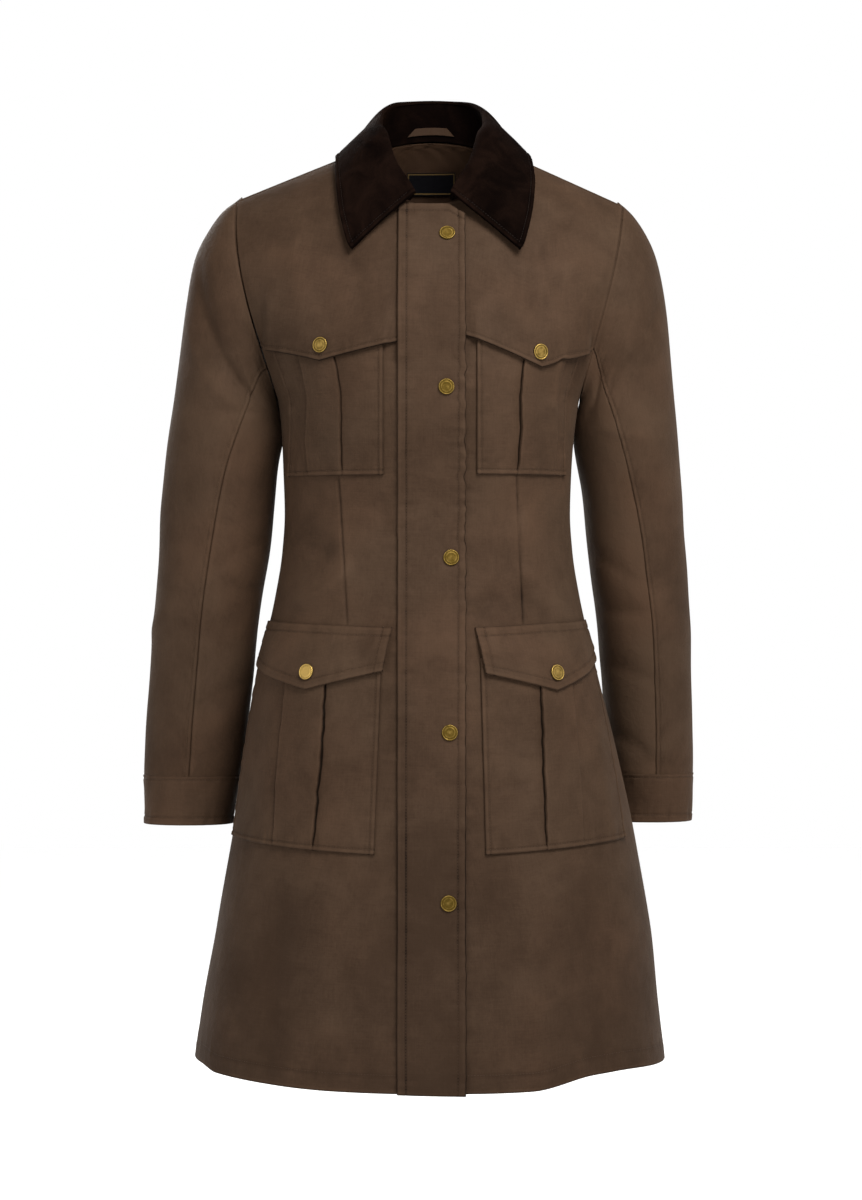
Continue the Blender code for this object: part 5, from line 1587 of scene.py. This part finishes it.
def sew_sleeve(name, side):
    """Two-piece sleeve and its cuff."""
    top, under = (Cloth(sleeve_surface(side, part, 0.0, CUFF_SEAM_RING), edged_steps(*SLEEVE_GRID[part]),
                        SLEEVE_RINGS / CUFF_SEAM_RING, away_from=sleeve_axis(side, 0.0, CUFF_SEAM_RING))
                  for part in ("top", "under"))
    # Painted shade along the seams' edges and in their stitch grooves
    top.turn_edge("first", SLEEVE_STITCH, SEED["sleeve"] + side, dark=SLEEVE_DARK["first"],
                  line=SLEEVE_LINE[side])
    top.turn_edge("last", SLEEVE_STITCH, SEED["sleeve_back"] + side, dark=SLEEVE_DARK["last"],
                  line=SLEEVE_BACK_LINE)
    top.turn_edge("low", dark=SLEEVE_DARK["low"])
    sew_lines(top, SIDE_EDGES, SLEEVE_STITCH, *LINE_ENDS["sleeve"])
    for edge in ("low", "high"):
        top.tuck(edge, *TOP_TUCK)
    add_cloth("sleeve_top_" + name, top, WAXED_CLOTH, ["yoke_" + name, "back"])
    for edge in ("first", "last", "low"):
        under.turn_edge(edge, dark=UNDER_DARK)
    # Painted light on the under sleeve where it faces forward
    under.tone += UNDER_PAINTED_LIGHT[side] * smooth_step(0.5 - UNDER_FRONT * under.normal[..., 1])
    for edge in ("first", "last", "low", "high"):
        under.tuck(edge, *(SIDE_TUCK if edge in SIDE_EDGES else UNDER_TUCK))
    add_cloth("sleeve_under_" + name, under, WAXED_CLOTH, ["sleeve_top_" + name])
    rings = (CUFF_SEAM_RING + CUFF_GAP, CUFF_END_RING)
    cuff = Cloth(sleeve_surface(side, "cuff", *rings), np.linspace(0.0, 1.0, CUFF_COLUMNS + 1)[:-1],
                 edged_steps(*CUFF_GRID), lift=CUFF_LIFT, cloth=CUFF_CLOTH,
                 away_from=sleeve_axis(side, *rings), ring=True)
    # Painted light over the whole cuff; painted shade along its edges and stitch grooves
    cuff.tone += CUFF_PAINTED_LIGHT
    cuff.turn_edge("low", CUFF_STITCH["low"], SEED["cuff_low"] + side, rise=CUFF_RISE, dark=CUFF_DARK)
    cuff.turn_edge("high", CUFF_STITCH["high"], SEED["cuff_high"] + side)
    for edge, gap in CUFF_STITCH.items():
        LINES.append(tuple(np.append(row, row[:1], axis=0) for row in cuff.line(edge, gap)))
    add_cloth("cuff_" + name, cuff, WAXED_CLOTH, ["sleeve_top_" + name])


def press_pleat(cloth, folds, seed):
    """Box pleat: it stands up between its folds, most along the inner one, which gapes unevenly; painted
    shade lies in and beside each fold, with a painted highlight on its other side.
    """
    share = cloth.s + PLEAT_WANDER[0] * ripple(cloth.along * PLEAT_WANDER[1], seed)
    inner, outer = (np.interp(cloth.t, levels, shares) for levels, shares, _ in folds)
    wall = smooth_step((share - inner) / PLEAT_WALL + 0.5) * smooth_step((outer - share) / PLEAT_WALL + 0.5)
    across = within((share - inner) / (outer - inner))
    gape = PLEAT_GAPE[0] + PLEAT_GAPE[1] * np.sin(math.pi * within(cloth.t * PLEAT_GAPE[2]))
    height = mix(PLEAT_HEIGHT[0] * gape, PLEAT_HEIGHT[1], across) - PLEAT_SAG * 4.0 * across * (1.0 - across)
    seam = smooth_step(cloth.distance("low") / PLEAT_SEAM)
    cloth.height += wall * height * mix(PLEAT_LOW["height"], 1.0, seam)
    middle = np.sin(math.pi * within(cloth.t))
    uneven = PLEAT_UNEVEN[0] + PLEAT_UNEVEN[1] * ripple(cloth.along * PLEAT_UNEVEN[2], seed + 1)
    uneven = np.clip(uneven, *PLEAT_UNEVEN_ENDS)
    for (_, _, depth), place, side in zip(folds, (inner, outer), (-1.0, 1.0)):
        aside = (share - place) * cloth.across[-1:] * side
        gap = PLEAT_GAP * (1.0 + max(depth - PLEAT_GAP_FROM, 0.0) * middle * uneven)
        crease = bell(aside - PLEAT_LEAN * gap, gap)
        shade = bell(np.maximum(aside, 0.0), PLEAT_SHADE[1]) * (aside > 0.0)
        # Painted shade in the fold and beside it, painted highlight on its other side
        cloth.tone -= depth * (crease + PLEAT_SHADE[0] * shade) * mix(PLEAT_LOW["tone"], 1.0, seam)
        cloth.tone += PLEAT_HIGHLIGHT[0] * min(depth, 1.0) * bell(aside + PLEAT_HIGHLIGHT[1], PLEAT_HIGHLIGHT[2])
        cloth.height -= (PLEAT_SINK[0] * crease + PLEAT_SINK[1] * shade) * seam


def pleat_steps(across, folds):
    """Columns of a pleated pocket, close together at its edges and folds."""
    columns = [edged_steps(*across)]
    for _, shares, _ in folds:
        low, high = min(shares) - PLEAT_STEPS[0], max(shares) + PLEAT_STEPS[0]
        columns.append(np.linspace(low, high, int((high - low) / PLEAT_STEPS[1])))
    return merged(columns, LEAST_STEP["pocket"])


def sew_pocket(kind, name, side, sizes):
    """Patch pocket with a box pleat, stitched along its sides and bottom."""
    across, along = GRID[kind]
    folds = PLEATS[kind][side]
    cloth = Cloth(patch_surface(side, sizes), pleat_steps(across, folds), edged_steps(*along),
                  lift=LAY + CLOTH)
    seed = SEED["pocket"] + SEED_STEP["pocket"] * side + along[1]
    edges = ("first", "last", "low")
    for count, edge in enumerate(edges):
        cloth.turn_edge(edge, POCKET_STITCH, seed + count)
    cloth.turn_edge("high")
    press_pleat(cloth, folds, seed + 3)
    sew_lines(cloth, edges, POCKET_STITCH)
    add_cloth("%s_pocket_%s" % (kind, name), cloth, WAXED_CLOTH, ["front_" + name])


def flap_lift(point, s, t):
    """Height of a flap: close to the front at its top seam, clear of the pocket below."""
    ends = 1.0 - sum(share * smooth_step((s - start) / run) for share, start, run in FLAP_ENDS)
    return LAY + CLOTH + FLAP_STAND * smooth_step((1.0 - t) / FLAP_RUN) * ends


def sew_flap(name, side):
    """Pointed pocket flap, stitched along its edges and below its top seam."""
    inner, outer, along = FLAP_GRID
    across = pointed_steps(HIP_FLAP[side]["share"][1], inner, outer, True)
    cloth = Cloth(patch_surface(side, HIP_FLAP[side]), across, edged_steps(*along), lift=flap_lift)
    rises = {"first": TURN_RISE, "last": TURN_RISE, "low": TURN_RISE, "high": THIN_RISE}
    seed = SEED["flap"] + SEED_STEP["flap"] * side
    for count, (edge, rise) in enumerate(rises.items()):
        cloth.turn_edge(edge, FLAP_STITCH, seed + count, rise=rise)
    sew_lines(cloth, rises, FLAP_STITCH)
    add_cloth("hip_flap_" + name, cloth, WAXED_CLOTH, ["front_" + name])


def even_grid(columns, rows):
    """Even fractions across and along."""
    return np.linspace(0.0, 1.0, columns + 1), np.linspace(0.0, 1.0, rows + 1)


def sew_collar():
    """Pile collar: the stand, and the fall stitched along its edge."""
    stand = Cloth(stand_surface, *even_grid(*EVEN_GRID["stand"]), cloth=COLLAR_CLOTH)
    stand.turn_edge("low")
    # Painted shade over the stand's inner side
    stand.tone_inside -= STAND_DARK
    add_cloth("collar_stand", stand, PILE_CLOTH, ["back"])
    across, along = GRID["fall"]
    fall = Cloth(fall_surface, edged_steps(*across), edged_steps(*along, first=False), cloth=COLLAR_CLOTH)
    dark, start, run = FALL_DARK
    fall.tone -= dark * smooth_step((fall.point[..., 0] - start) / run)
    for count, edge in enumerate(("first", "last", "high")):
        fall.turn_edge(edge, COLLAR_STITCH, SEED["collar"] + count, pucker=COLLAR_PUCKER)
    sew_lines(fall, SIDE_EDGES, COLLAR_STITCH, *LINE_ENDS["fall"], PILE_LINES)
    sew_lines(fall, ("high",), COLLAR_STITCH, lines=PILE_LINES)
    fall.tuck("low", *FALL_TUCK)
    add_cloth("collar_fall", fall, PILE_CLOTH, ["collar_stand"])


def sew_neck_inside():
    """Facing, plain label and hanger loop inside the back neck."""
    under = -(CLOTH + LAY)

    def facing_surface(s, t):
        first = 0.5 - NECK_SHARE / 2.0 + FACING_INSET
        return back_surface(mix(first, 1.0 - first, s), mix(FACING_LOW, 1.0, t))

    def label_surface(s, t):
        return body_point(mix(*LABEL_X, s), mix(*LABEL_Z, t), BACK)

    def loop_surface(s, t):
        turn = LOOP_TURN * (2.0 * s - 1.0) * (1.0 - LOOP_TAPER * t)
        low, high = (stand_surface((turn + 1.0) / 2.0, np.full_like(t, share))
                     for share in (LOOP_SHARE, LOOP_SHARE + LOOP_HEIGHT))
        return mix(low, high, t[..., None])

    facing = Cloth(facing_surface, *even_grid(*EVEN_GRID["facing"]), lift=under, cloth=FACING_CLOTH)
    below = facing.distance("high")
    gathers = FACING_GATHERS[0] * ripple(facing.across, SEED["facing"]) * bell(below, FACING_GATHERS[1])
    light, reach, more = FACING_TONE
    # Painted light near the facing's top edge, painted shading on its gathers
    facing.tone_inside += light * bell(below, reach) + more * gathers
    facing.base += gathers
    facing.height += gathers
    add_cloth("neck_facing", facing, LINING_CLOTH, ["back"])
    label = Cloth(label_surface, *even_grid(*EVEN_GRID["label"]), lift=under - FACING_CLOTH - LABEL_LAY,
                  cloth=LABEL_CLOTH)
    rim = np.min([label.distance(edge) for edge in ("first", "last", "low", "high")], axis=0)
    label.tone = label.tone_inside = bell(rim - LABEL_RIM[0], LABEL_RIM[1])
    add_cloth("label", label, LABEL_CLOTH_FINISH, ["neck_facing"])
    loop = Cloth(loop_surface, *even_grid(*EVEN_GRID["loop"]), lift=-COLLAR_CLOTH - LAY, cloth=FACING_CLOTH)
    loop.tone_inside += LOOP_TONE
    add_cloth("hanger_loop", loop, LINING_CLOTH, ["collar_stand"])


# Snaps: rings of the turned profile from the cloth to the middle of the cap
SNAP_RINGS = {"radius": mm(7.3, 7.5, 7.45, 7.2, 6.8, 6.5, 6.3, 6, 5.2, 4.6, 4, 2.2, 0.4),
              "height": mm(0, 0.6, 1.2, 1.6, 1.75, 1.65, 1.45, 1.45, 1.55, 1.7, 1.6, 1.65, 1.7),
              "tone": (-1.2, -1.1, -0.8, 0.1, 0.5, 0.0, -0.8, -0.5, -0.1, 0.2, -0.2, 0.0, 0.1)}
# Painted light and shade of each snap as a whole: a painted highlight on the right flap's snap, painted shade
# on the others
SNAP_PAINTED_LIGHT = {"placket": -0.68, "yoke": -0.20, "flap": {RIGHT: 0.70, LEFT: -0.05}}
SNAP_SEGMENTS = 44
SNAP_BEADS = 22
SNAP_BEAD = 0.00009
SNAP_BEAD_RINGS = (8, 9, 10)
SNAP_SHARP = 70.0
PLACKET_SNAP_SINK = 0.0002


def add_snap(name, x, z, lift, painted_light):
    """Brass snap: a rolled rim, a groove and a low beaded cap."""
    def spot(s, t):
        return body_point(x + SNAP_RADIUS * (s - 0.5), z + SNAP_RADIUS * (t - 0.5), FRONT)

    middle = np.full((1, 1), 0.5)
    normal = wall_normals(spot, middle, middle, body_axis)[0, 0]
    across = unit(np.cross(normal, UP))
    upward = np.cross(across, normal)
    base = body_point(x, z, FRONT) + normal * (lift + SNAP_LAY)
    points = []
    for count, (radius, height) in enumerate(zip(SNAP_RINGS["radius"], SNAP_RINGS["height"])):
        for k in range(SNAP_SEGMENTS):
            angle = WHOLE * k / SNAP_SEGMENTS
            bead = SNAP_BEAD * math.cos(SNAP_BEADS * angle) if count in SNAP_BEAD_RINGS else 0.0
            around = across * math.cos(angle) + upward * math.sin(angle)
            points.append(base + around * radius + normal * (height + bead))
    top = len(points) - SNAP_SEGMENTS
    faces = []
    for low in range(0, top, SNAP_SEGMENTS):
        for k in range(SNAP_SEGMENTS):
            here, after = low + k, low + (k + 1) % SNAP_SEGMENTS
            faces.append((here, after, after + SNAP_SEGMENTS, here + SNAP_SEGMENTS))
    faces.append(tuple(range(top, len(points))))
    faces.append(tuple(reversed(range(SNAP_SEGMENTS))))
    # Ring tones of patina and wear, plus the snap's painted light and shade
    tone = np.repeat(np.array(SNAP_RINGS["tone"]) + painted_light, SNAP_SEGMENTS)
    piece = add_mesh("brass_" + name, points, faces, (METAL,), sharp=SNAP_SHARP, tone=tone)
    face = piece.data.polygons[0]
    if np.dot(np.array(face.normal), np.array(face.center) - base) < 0.0:
        piece.data.flip_normals()
    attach(piece, "root")
    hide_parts(name)


def add_snaps():
    """Snaps on the placket, at the yokes' points and at the flaps' points."""
    for count, (x, z) in enumerate(PLACKET_SNAPS):
        lift = float(placket_lift(body_point(x, z, FRONT))) - PLACKET_SNAP_SINK
        add_snap("snap_placket_%d" % (count + 1), x, z, lift, SNAP_PAINTED_LIGHT["placket"])
    for name, side in SIDES.items():
        x, z = YOKE_SNAP[side]
        lift = float(yoke_lift(body_point(x, z, FRONT), side))
        add_snap("snap_yoke_" + name, x, z, lift, SNAP_PAINTED_LIGHT["yoke"])
        add_snap("snap_flap_" + name, *FLAP_SNAP[side], LAY + CLOTH + FLAP_STAND, SNAP_PAINTED_LIGHT["flap"][side])


for side_name, side_sign in SIDES.items():
    sew_front(side_name, side_sign)
    sew_yoke(side_name, side_sign)
    sew_sleeve(side_name, side_sign)
    sew_pocket("chest", side_name, side_sign, CHEST_POCKET[side_sign])
    sew_pocket("hip", side_name, side_sign, HIP_POCKET[side_sign])
    sew_flap(side_name, side_sign)
sew_back()
sew_placket()
sew_collar()
sew_neck_inside()
add_snaps()
add_stitches("stitches_body", LINES, THREAD, BODY_STITCH_SEED)
add_stitches("stitches_collar", PILE_LINES, PILE_THREAD, COLLAR_STITCH_SEED)


# Camera of the photograph: distance in front, level, and lens over a picture 1200 px high
CAMERA_AWAY = 3.5
CAMERA_Z = -0.447
PIXEL = 0.00096
PICTURE_HIGH = 1200.0
SENSOR = 24.0
MIDDLE_SHIFT = 0.5 / PICTURE_HIGH
FLOOR_Z = -1.16
FLOOR_HALF = 7.0
FLOOR_TINTS = ((0.60, 0.60, 0.60, 1.0), (0.63, 0.63, 0.63, 1.0))
WHITE = (1.0, 1.0, 1.0, 1.0)
WORLD_FADE = {"From Min": 0.25, "From Max": 0.60, "To Min": 1.0, "To Max": 0.35}

# Lights: place, size, power, tint
LIGHTS = {
    "key": ((0.72, -1.45, 1.15), 1.0, 92.0, (1.0, 0.985, 0.96)),
    "fill": ((-1.8, -2.2, 0.0), 1.4, 17.0, (1.0, 0.99, 0.98)),
    "back": ((-1.3, 2.1, 0.9), 1.3, 60.0, (1.0, 0.99, 0.98)),
}


def add_stage():
    """Plain pale floor under the coat."""
    corners = ((-1.0, -1.0), (1.0, -1.0), (1.0, 1.0), (-1.0, 1.0))
    points = [(x * FLOOR_HALF, y * FLOOR_HALF, FLOOR_Z) for x, y in corners]
    made = Finish("pale_floor", Specular_IOR_Level=0.1, Roughness=0.9, Emission_Color=WHITE,
                  Emission_Strength=0.68)
    colour = made.blend(made.noise(made.place(), 3.0, 3.0), *FLOOR_TINTS)
    add_mesh("floor", points, ((0, 1, 2, 3),), (made.finish(colour),), sharp=0.0)


def add_light(name, place, size, power, tint):
    """Soft square light that faces the middle of the coat."""
    lamp = bpy.data.lights.new(name, "AREA")
    lamp.energy = power
    lamp.size = size
    lamp.color = tint
    piece = add_object(name, lamp)
    piece.location = place
    aim = Vector((0.0, 0.0, CAMERA_Z)) - Vector(place)
    piece.rotation_euler = aim.to_track_quat("-Z", "Y").to_euler()


def add_camera():
    """Camera straight in front."""
    lens = bpy.data.cameras.new("camera")
    lens.sensor_fit = "VERTICAL"
    lens.sensor_height = SENSOR
    lens.lens = CAMERA_AWAY / PIXEL / PICTURE_HIGH * SENSOR
    lens.shift_x = MIDDLE_SHIFT
    piece = add_object("camera", lens)
    piece.location = (0.0, -CAMERA_AWAY, CAMERA_Z)
    piece.rotation_euler = (QUARTER, 0.0, 0.0)
    bpy.context.scene.camera = piece


def add_world():
    """White surroundings, dimmer overhead."""
    world = bpy.data.worlds.new("studio")
    world.use_nodes = True
    tree = world.node_tree
    towards = add_node(tree, "ShaderNodeTexCoord").outputs["Generated"]
    level = add_node(tree, "ShaderNodeSeparateXYZ", None, {0: towards}).outputs["Z"]
    fade = add_node(tree, "ShaderNodeMapRange", {"interpolation_type": "SMOOTHSTEP"},
                    {"Value": level, **WORLD_FADE})
    ground = tree.nodes["Background"]
    feed(tree, ground.inputs["Color"], WHITE)
    feed(tree, ground.inputs["Strength"], fade.outputs["Result"])
    bpy.context.scene.world = world


add_stage()
for light_name, light in LIGHTS.items():
    add_light(light_name, *light)
add_camera()
add_world()
bpy.context.scene.view_settings.view_transform = "Standard"
